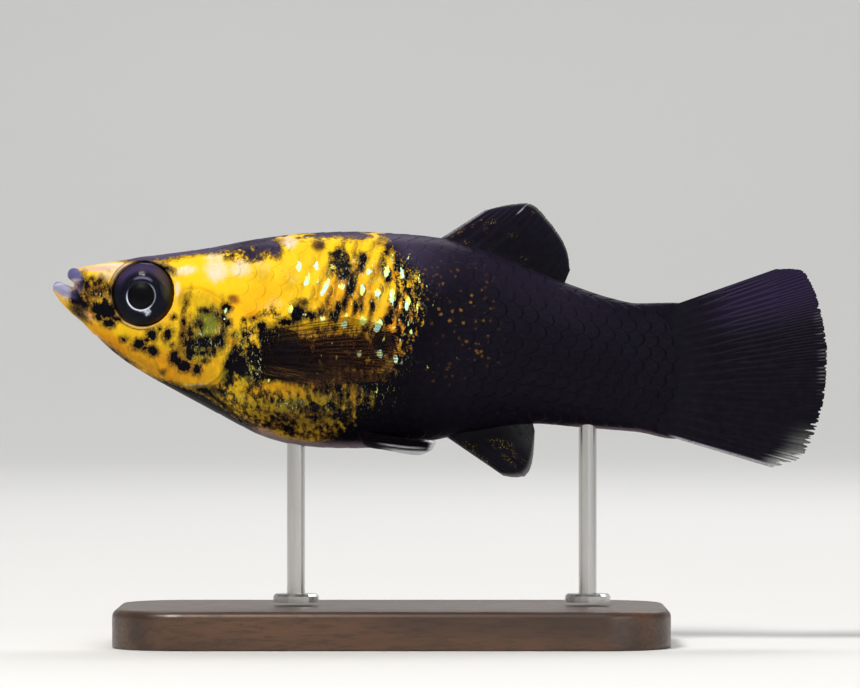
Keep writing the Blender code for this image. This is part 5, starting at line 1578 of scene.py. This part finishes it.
def anal_fin_colours(share, along, ridge, middle):
    """Black with patches of gold spots."""
    return {
        "thin": 0.4 * ease(0.9, 1.0, along) + 0.12 * ease(0.4, 0.9, share),
        "pale": 0.12 * ease(0.04, 0.0, share),
        "sheen": 0.03 + 0 * share,
        "gold": wash(ANAL_FIN_SPOTS, *to_photo(*np.moveaxis(middle, -1, 0))),
    }


def pectoral_colours(share, along, ridge, middle):
    """Clear, dark at the root and low down, with broken gold between the rays."""
    root = ease(0.5, 0.14, along + 0.4 * np.abs(share - 0.5))
    upper = ease(0.4, 0.25, share) * ease(0.12, 0.3, along) * ease(0.75, 0.5, along)
    lower = ease(0.74, 0.86, share) * ease(0.05, 0.2, along) * ease(0.6, 0.35, along)
    broken = ease(-0.7, 1.1, np.sin(15 * along + 8 * np.sin(37 * share)) + 0.5 * np.sin(150 * share))
    between = ease(0.35, 0.1, ridge) * broken
    gold = (0.5 * np.maximum(upper, lower) + 0.1 * ease(0.3, 0.6, along)) * between
    low = 0.8 * bump_of(share - 0.72, 0.22) * ease(0.9, 0.6, along) * (0.7 + 0.3 * ridge)
    dark = np.clip(np.maximum(root * (0.45 + 0.5 * ridge), low), 0, 0.9)
    dark = np.maximum(dark, 0.95 * bump_of(along - 0.2, 0.16) * bump_of(share - 0.5, 0.35))
    dark = np.maximum(dark, 0.45 * ease(0.45, 0.2, share) * ease(0.05, 0.25, along) * (0.3 + 0.7 * ridge))
    return {"dark": dark, "pale": 0 * share, "gold": gold * (1 - dark)}


def pelvic_colours(share, along, ridge, middle):
    """Dark with a pale lower edge, tip and second ray."""
    lower = ease(0.66, 0.8, share) * ease(0.15, 0.5, along)
    second = bump_of(share - 0.48 - 0.1 * along, 0.045) * ease(0.15, 0.35, along) * ease(0.95, 0.7, along)
    tip = ease(0.91, 0.97, along) * ease(0.0, 0.2, share)
    pale = np.clip(np.maximum(np.maximum(lower, tip), 0.9 * second), 0, 0.95)
    return {"dark": 1 - 0.6 * pale, "pale": pale, "gold": 0 * share}


# Frays of a fin's edge: place along the edge, depth and spread, as shares of the fin
TAIL_FRAYS = (
    (0.29, 0.012, 0.004), (0.44, 0.01, 0.003), (0.56, 0.014, 0.004), (0.66, 0.016, 0.004),
    (0.0, 0.035, 0.035), (1.0, 0.05, 0.04),
)
BACK_FRAYS = ((0.0, 0.07, 0.06), (0.27, 0.012, 0.006), (1.0, 0.06, 0.08))
ANAL_FRAYS = ((0.0, 0.05, 0.06), (0.5, 0.014, 0.006))
PECTORAL_FRAYS = ((0.4, 0.04, 0.01), (0.7, 0.05, 0.01))
CORNER_FRAYS, CORNER_FRAY_SPREAD = 44, 0.002


def tail_frays():
    """The tail fin's frays, with many small ones at its torn lower corner."""
    rng = np.random.default_rng(5)
    places = np.sort(rng.uniform(0.72, 0.995, CORNER_FRAYS))
    depths = rng.uniform(0.01, 0.06, CORNER_FRAYS) * ease(0.66, 0.9, places)
    return (*TAIL_FRAYS, *((place, depth, CORNER_FRAY_SPREAD) for place, depth in zip(places, depths)))


def tail_sway(share, along):
    """The wave across the tail fin, growing towards its edge."""
    return TAIL_FIN_WAVE * np.sin(2 * math.pi * TAIL_FIN_WAVES * share + TAIL_FIN_PHASE) * along**2


def leaning(lean):
    """A sway that bends the whole fin to one side."""
    return lambda share, along: lean * along**LEAN_POWER


def build_fins():
    """The three black fins of the midline and the clear pairs."""
    dark, clear = dark_fin_look(), clear_fin_look()
    back_lean, anal_lean = leaning(BACK_FIN_LEAN), leaning(ANAL_FIN_LEAN)
    for kind, guides, sway, colours, node, seed, frays, notch in (
        ("tail", TAIL_FIN_GUIDES, tail_sway, tail_colours, "fin_tail", 3, tail_frays(), 0.006),
        ("back", BACK_FIN_GUIDES, back_lean, back_fin_colours, "fin_dorsal", 4, BACK_FRAYS, 0.006),
        ("anal", ANAL_FIN_GUIDES, anal_lean, anal_fin_colours, "fin_anal", 5, ANAL_FRAYS, 0.008),
    ):
        sheet = median_sheet(guides, sway)
        fin_piece(kind + "_fin", kind, sheet, dark, colours, node, seed, frays, notch)
    for side, word in SIDES:
        for kind, sheet, colours, seed, frays in (
            ("pectoral", pectoral_sheet(side), pectoral_colours, 6, PECTORAL_FRAYS),
            ("pelvic", pelvic_sheet(side), pelvic_colours, 7, ()),
        ):
            name, node = f"{kind}_fin_{word}", f"fin_{kind}_{word}"
            fin_piece(name, kind, sheet, clear, colours, node, seed, frays)


# Stand and studio, in millimetres
BASE_CENTRE_X, BASE_LENGTH, BASE_WIDTH, BASE_HEIGHT = -4.0, 46.0, 24.0, 3.2
BASE_CORNER, BASE_BEVEL, BASE_RING = 6.0, 0.6, 96
WOOD_DARK, WOOD_LIGHT, WOOD_FIBRE = (0.035, 0.016, 0.008), (0.105, 0.048, 0.022), (0.015, 0.007, 0.004)
STEEL = (0.62, 0.61, 0.59, 1.0)
PAPER_DARK, PAPER_LIGHT = (0.66, 0.655, 0.64), (0.70, 0.695, 0.68)
SKY, SKY_STRENGTH = (0.9, 0.93, 1.0, 1.0), 0.24
BOWL_FLAT = 800.0
BOWL_RADIUS = 2000.0
BOWL_HEIGHT = 1400.0
BOWL_RING, BOWL_ROWS = 96, 24
FISH_MIDDLE = (-4.0, 0.0, 25.0)
WHITE = (1.0, 1.0, 1.0)
# name, place, size, power, colour, target; places and sizes in millimetres
LIGHTS = (
    ("key_light", (-210.0, -360.0, 520.0), 200.0, 4.1, (1.0, 0.97, 0.92), FISH_MIDDLE),
    ("fill_light", (360.0, -480.0, 220.0), 420.0, 1.0, (0.93, 0.96, 1.0), FISH_MIDDLE),
    ("rim_light", (200.0, 380.0, 460.0), 420.0, 1.2, WHITE, FISH_MIDDLE),
    ("backdrop_light", (0.0, 700.0, 1100.0), 800.0, 7.5, WHITE, (0.0, 1250.0, 0.0)),
)


def wood_look():
    """Dark stained wood with a satin varnish."""
    g = Graph("stand_wood", Coat_Weight=0.25, Coat_Roughness=0.28)
    lengthwise = g.stretched(0.16, 1.0, 1.0)
    warp = g.noise(0.35, 3.0, place=lengthwise)
    fibres = g.noise(3.2, 5.0, 0.7, lengthwise)
    waves_of_wood = {"Vector": lengthwise, "Scale": 0.11 * PER_MM, "Distortion": 7.0, "Detail": 3.0}
    rings = g.node("TexWave", waves_of_wood, bands_direction="Y").outputs["Fac"]
    tone = g.scaled(warp, 0.75, g.times(rings, 0.25))
    colour = g.mix(g.step(tone, 0.25, 0.8), WOOD_DARK, WOOD_LIGHT)
    colour = g.mix(g.step(fibres, 0.42, 0.68, 0.0, 0.55), colour, WOOD_FIBRE)
    return g.finish(colour, g.step(fibres, 0.3, 0.7, 0.34, 0.5), g.bump(fibres, 0.03, 0.35))


def steel_look():
    """Turned and polished steel."""
    g = Graph("stand_steel", Metallic=1.0, Base_Color=STEEL)
    turned = g.noise(9.0, 2.0, 0.5, g.stretched(0.25, 0.25, 3.0))
    return g.finish(roughness=g.step(turned, 0.3, 0.7, 0.2, 0.27), normal=g.bump(turned, 0.001, 0.15))


def dress_stand():
    """Gives the rods their steel, and puts the wooden plate in the base's place."""
    wood, steel = wood_look(), steel_look()
    for node in ("stand_rod_front", "stand_rod_rear"):
        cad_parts[node].material_slots[0].material = steel
    build_base(wood)


def base_ring(inset, z):
    """The base's outline at a height, drawn in by an inset."""
    turn = np.radians(np.arange(BASE_RING) * 360.0 / BASE_RING)
    across, deep = np.cos(turn), np.sin(turn)
    half_x, half_y = BASE_LENGTH / 2 - BASE_CORNER, BASE_WIDTH / 2 - BASE_CORNER
    x = BASE_CENTRE_X + half_x * np.where(across >= 0, 1.0, -1.0) + (BASE_CORNER - inset) * across
    y = half_y * np.where(deep >= 0, 1.0, -1.0) + (BASE_CORNER - inset) * deep
    return np.stack([x, y, z + 0 * x], axis=-1)


def build_base(look):
    """A low plate with round corners and a soft top edge, in the place of the solid one."""
    top, wall_top = BASE_HEIGHT, BASE_HEIGHT - BASE_BEVEL
    rows = [(0.9, 0.0), (0.2, 0.0), (0.05, 0.05), (0.0, 0.2), (0.0, 0.4), (0.0, 1.3), (0.0, wall_top - 0.2)]
    for turn in np.linspace(0, math.pi / 2, 7):
        rows.append((BASE_BEVEL * (1 - math.cos(turn)), wall_top + BASE_BEVEL * math.sin(turn)))
    rows += [(0.8, top), (1.4, top), (BASE_CORNER - 0.1, top)]
    rings = np.array([base_ring(inset, z) for inset, z in rows])
    sides = grid_faces(len(rings), BASE_RING, closed=True)
    last = (len(rings) - 1) * BASE_RING
    ends = np.array([range(BASE_RING - 1, -1, -1), range(last, last + BASE_RING)])
    points = rings.reshape(-1, 3)
    mesh_piece("stand_plate", points, [sides, ends], look, nodes=("stand_base",))


def area_light(name, place, size, power, colour, target):
    """A soft round light."""
    data = bpy.data.lights.new(name, "AREA")
    data.shape = "DISK"
    data.size = size * MM
    data.energy = power
    data.color = colour
    light = add_object(name, data)
    light.location = Vector(place) * MM
    light.rotation_euler = (Vector(target) * MM - light.location).to_track_quat("-Z", "Y").to_euler()
    light.visible_camera = False


def build_floor():
    """A pale floor that rises into a bowl all round."""
    angle = np.linspace(0, 2 * math.pi, BOWL_RING, endpoint=False)
    climb = np.linspace(0, math.pi / 2, BOWL_ROWS)
    radius = np.concatenate([[1.0], BOWL_FLAT + (BOWL_RADIUS - BOWL_FLAT) * np.sin(climb)])[:, None]
    height = np.concatenate([[0.0], BOWL_HEIGHT * (1 - np.cos(climb))])[:, None]
    points = np.stack([radius * np.cos(angle), radius * np.sin(angle), height + 0 * angle], axis=-1)
    paper = Graph("studio_paper", Roughness=0.9)
    look = paper.finish(paper.mix(paper.noise(0.004, 2.0), PAPER_DARK, PAPER_LIGHT))
    faces = [tuple(face) for face in grid_faces(len(radius), BOWL_RING, closed=True)]
    mesh = bpy.data.meshes.new("studio_floor")
    mesh.from_pydata((points.reshape(-1, 3) * MM).tolist(), [], faces + [tuple(range(BOWL_RING))])
    mesh.shade_smooth()
    mesh.materials.append(look)
    floor = add_object("studio_floor", mesh)


def build_studio():
    """The floor, soft lights, and a camera where the photographer was."""
    build_floor()
    for light in LIGHTS:
        area_light(*light)
    world = bpy.data.worlds.new("studio_world")
    world.use_nodes = True
    background = world.node_tree.nodes["Background"]
    background.inputs["Color"].default_value = SKY
    background.inputs["Strength"].default_value = SKY_STRENGTH
    bpy.context.scene.world = world
    bpy.context.scene.view_settings.view_transform = "Standard"
    data = bpy.data.cameras.new("camera")
    data.lens = LENS
    data.sensor_width = SENSOR
    data.clip_start = 0.01
    data.clip_end = 10.0
    camera = add_object("camera", data)
    camera.location = Vector((VIEW_CENTRE_X, -CAMERA_DISTANCE, VIEW_CENTRE_Z)) * MM
    camera.rotation_euler = (math.radians(90), 0, 0)
    bpy.context.scene.camera = camera


def main():
    look = skin_look()
    build_skin(look)
    build_scales(look)
    build_eyes()
    build_fins()
    dress_stand()
    build_studio()


main()
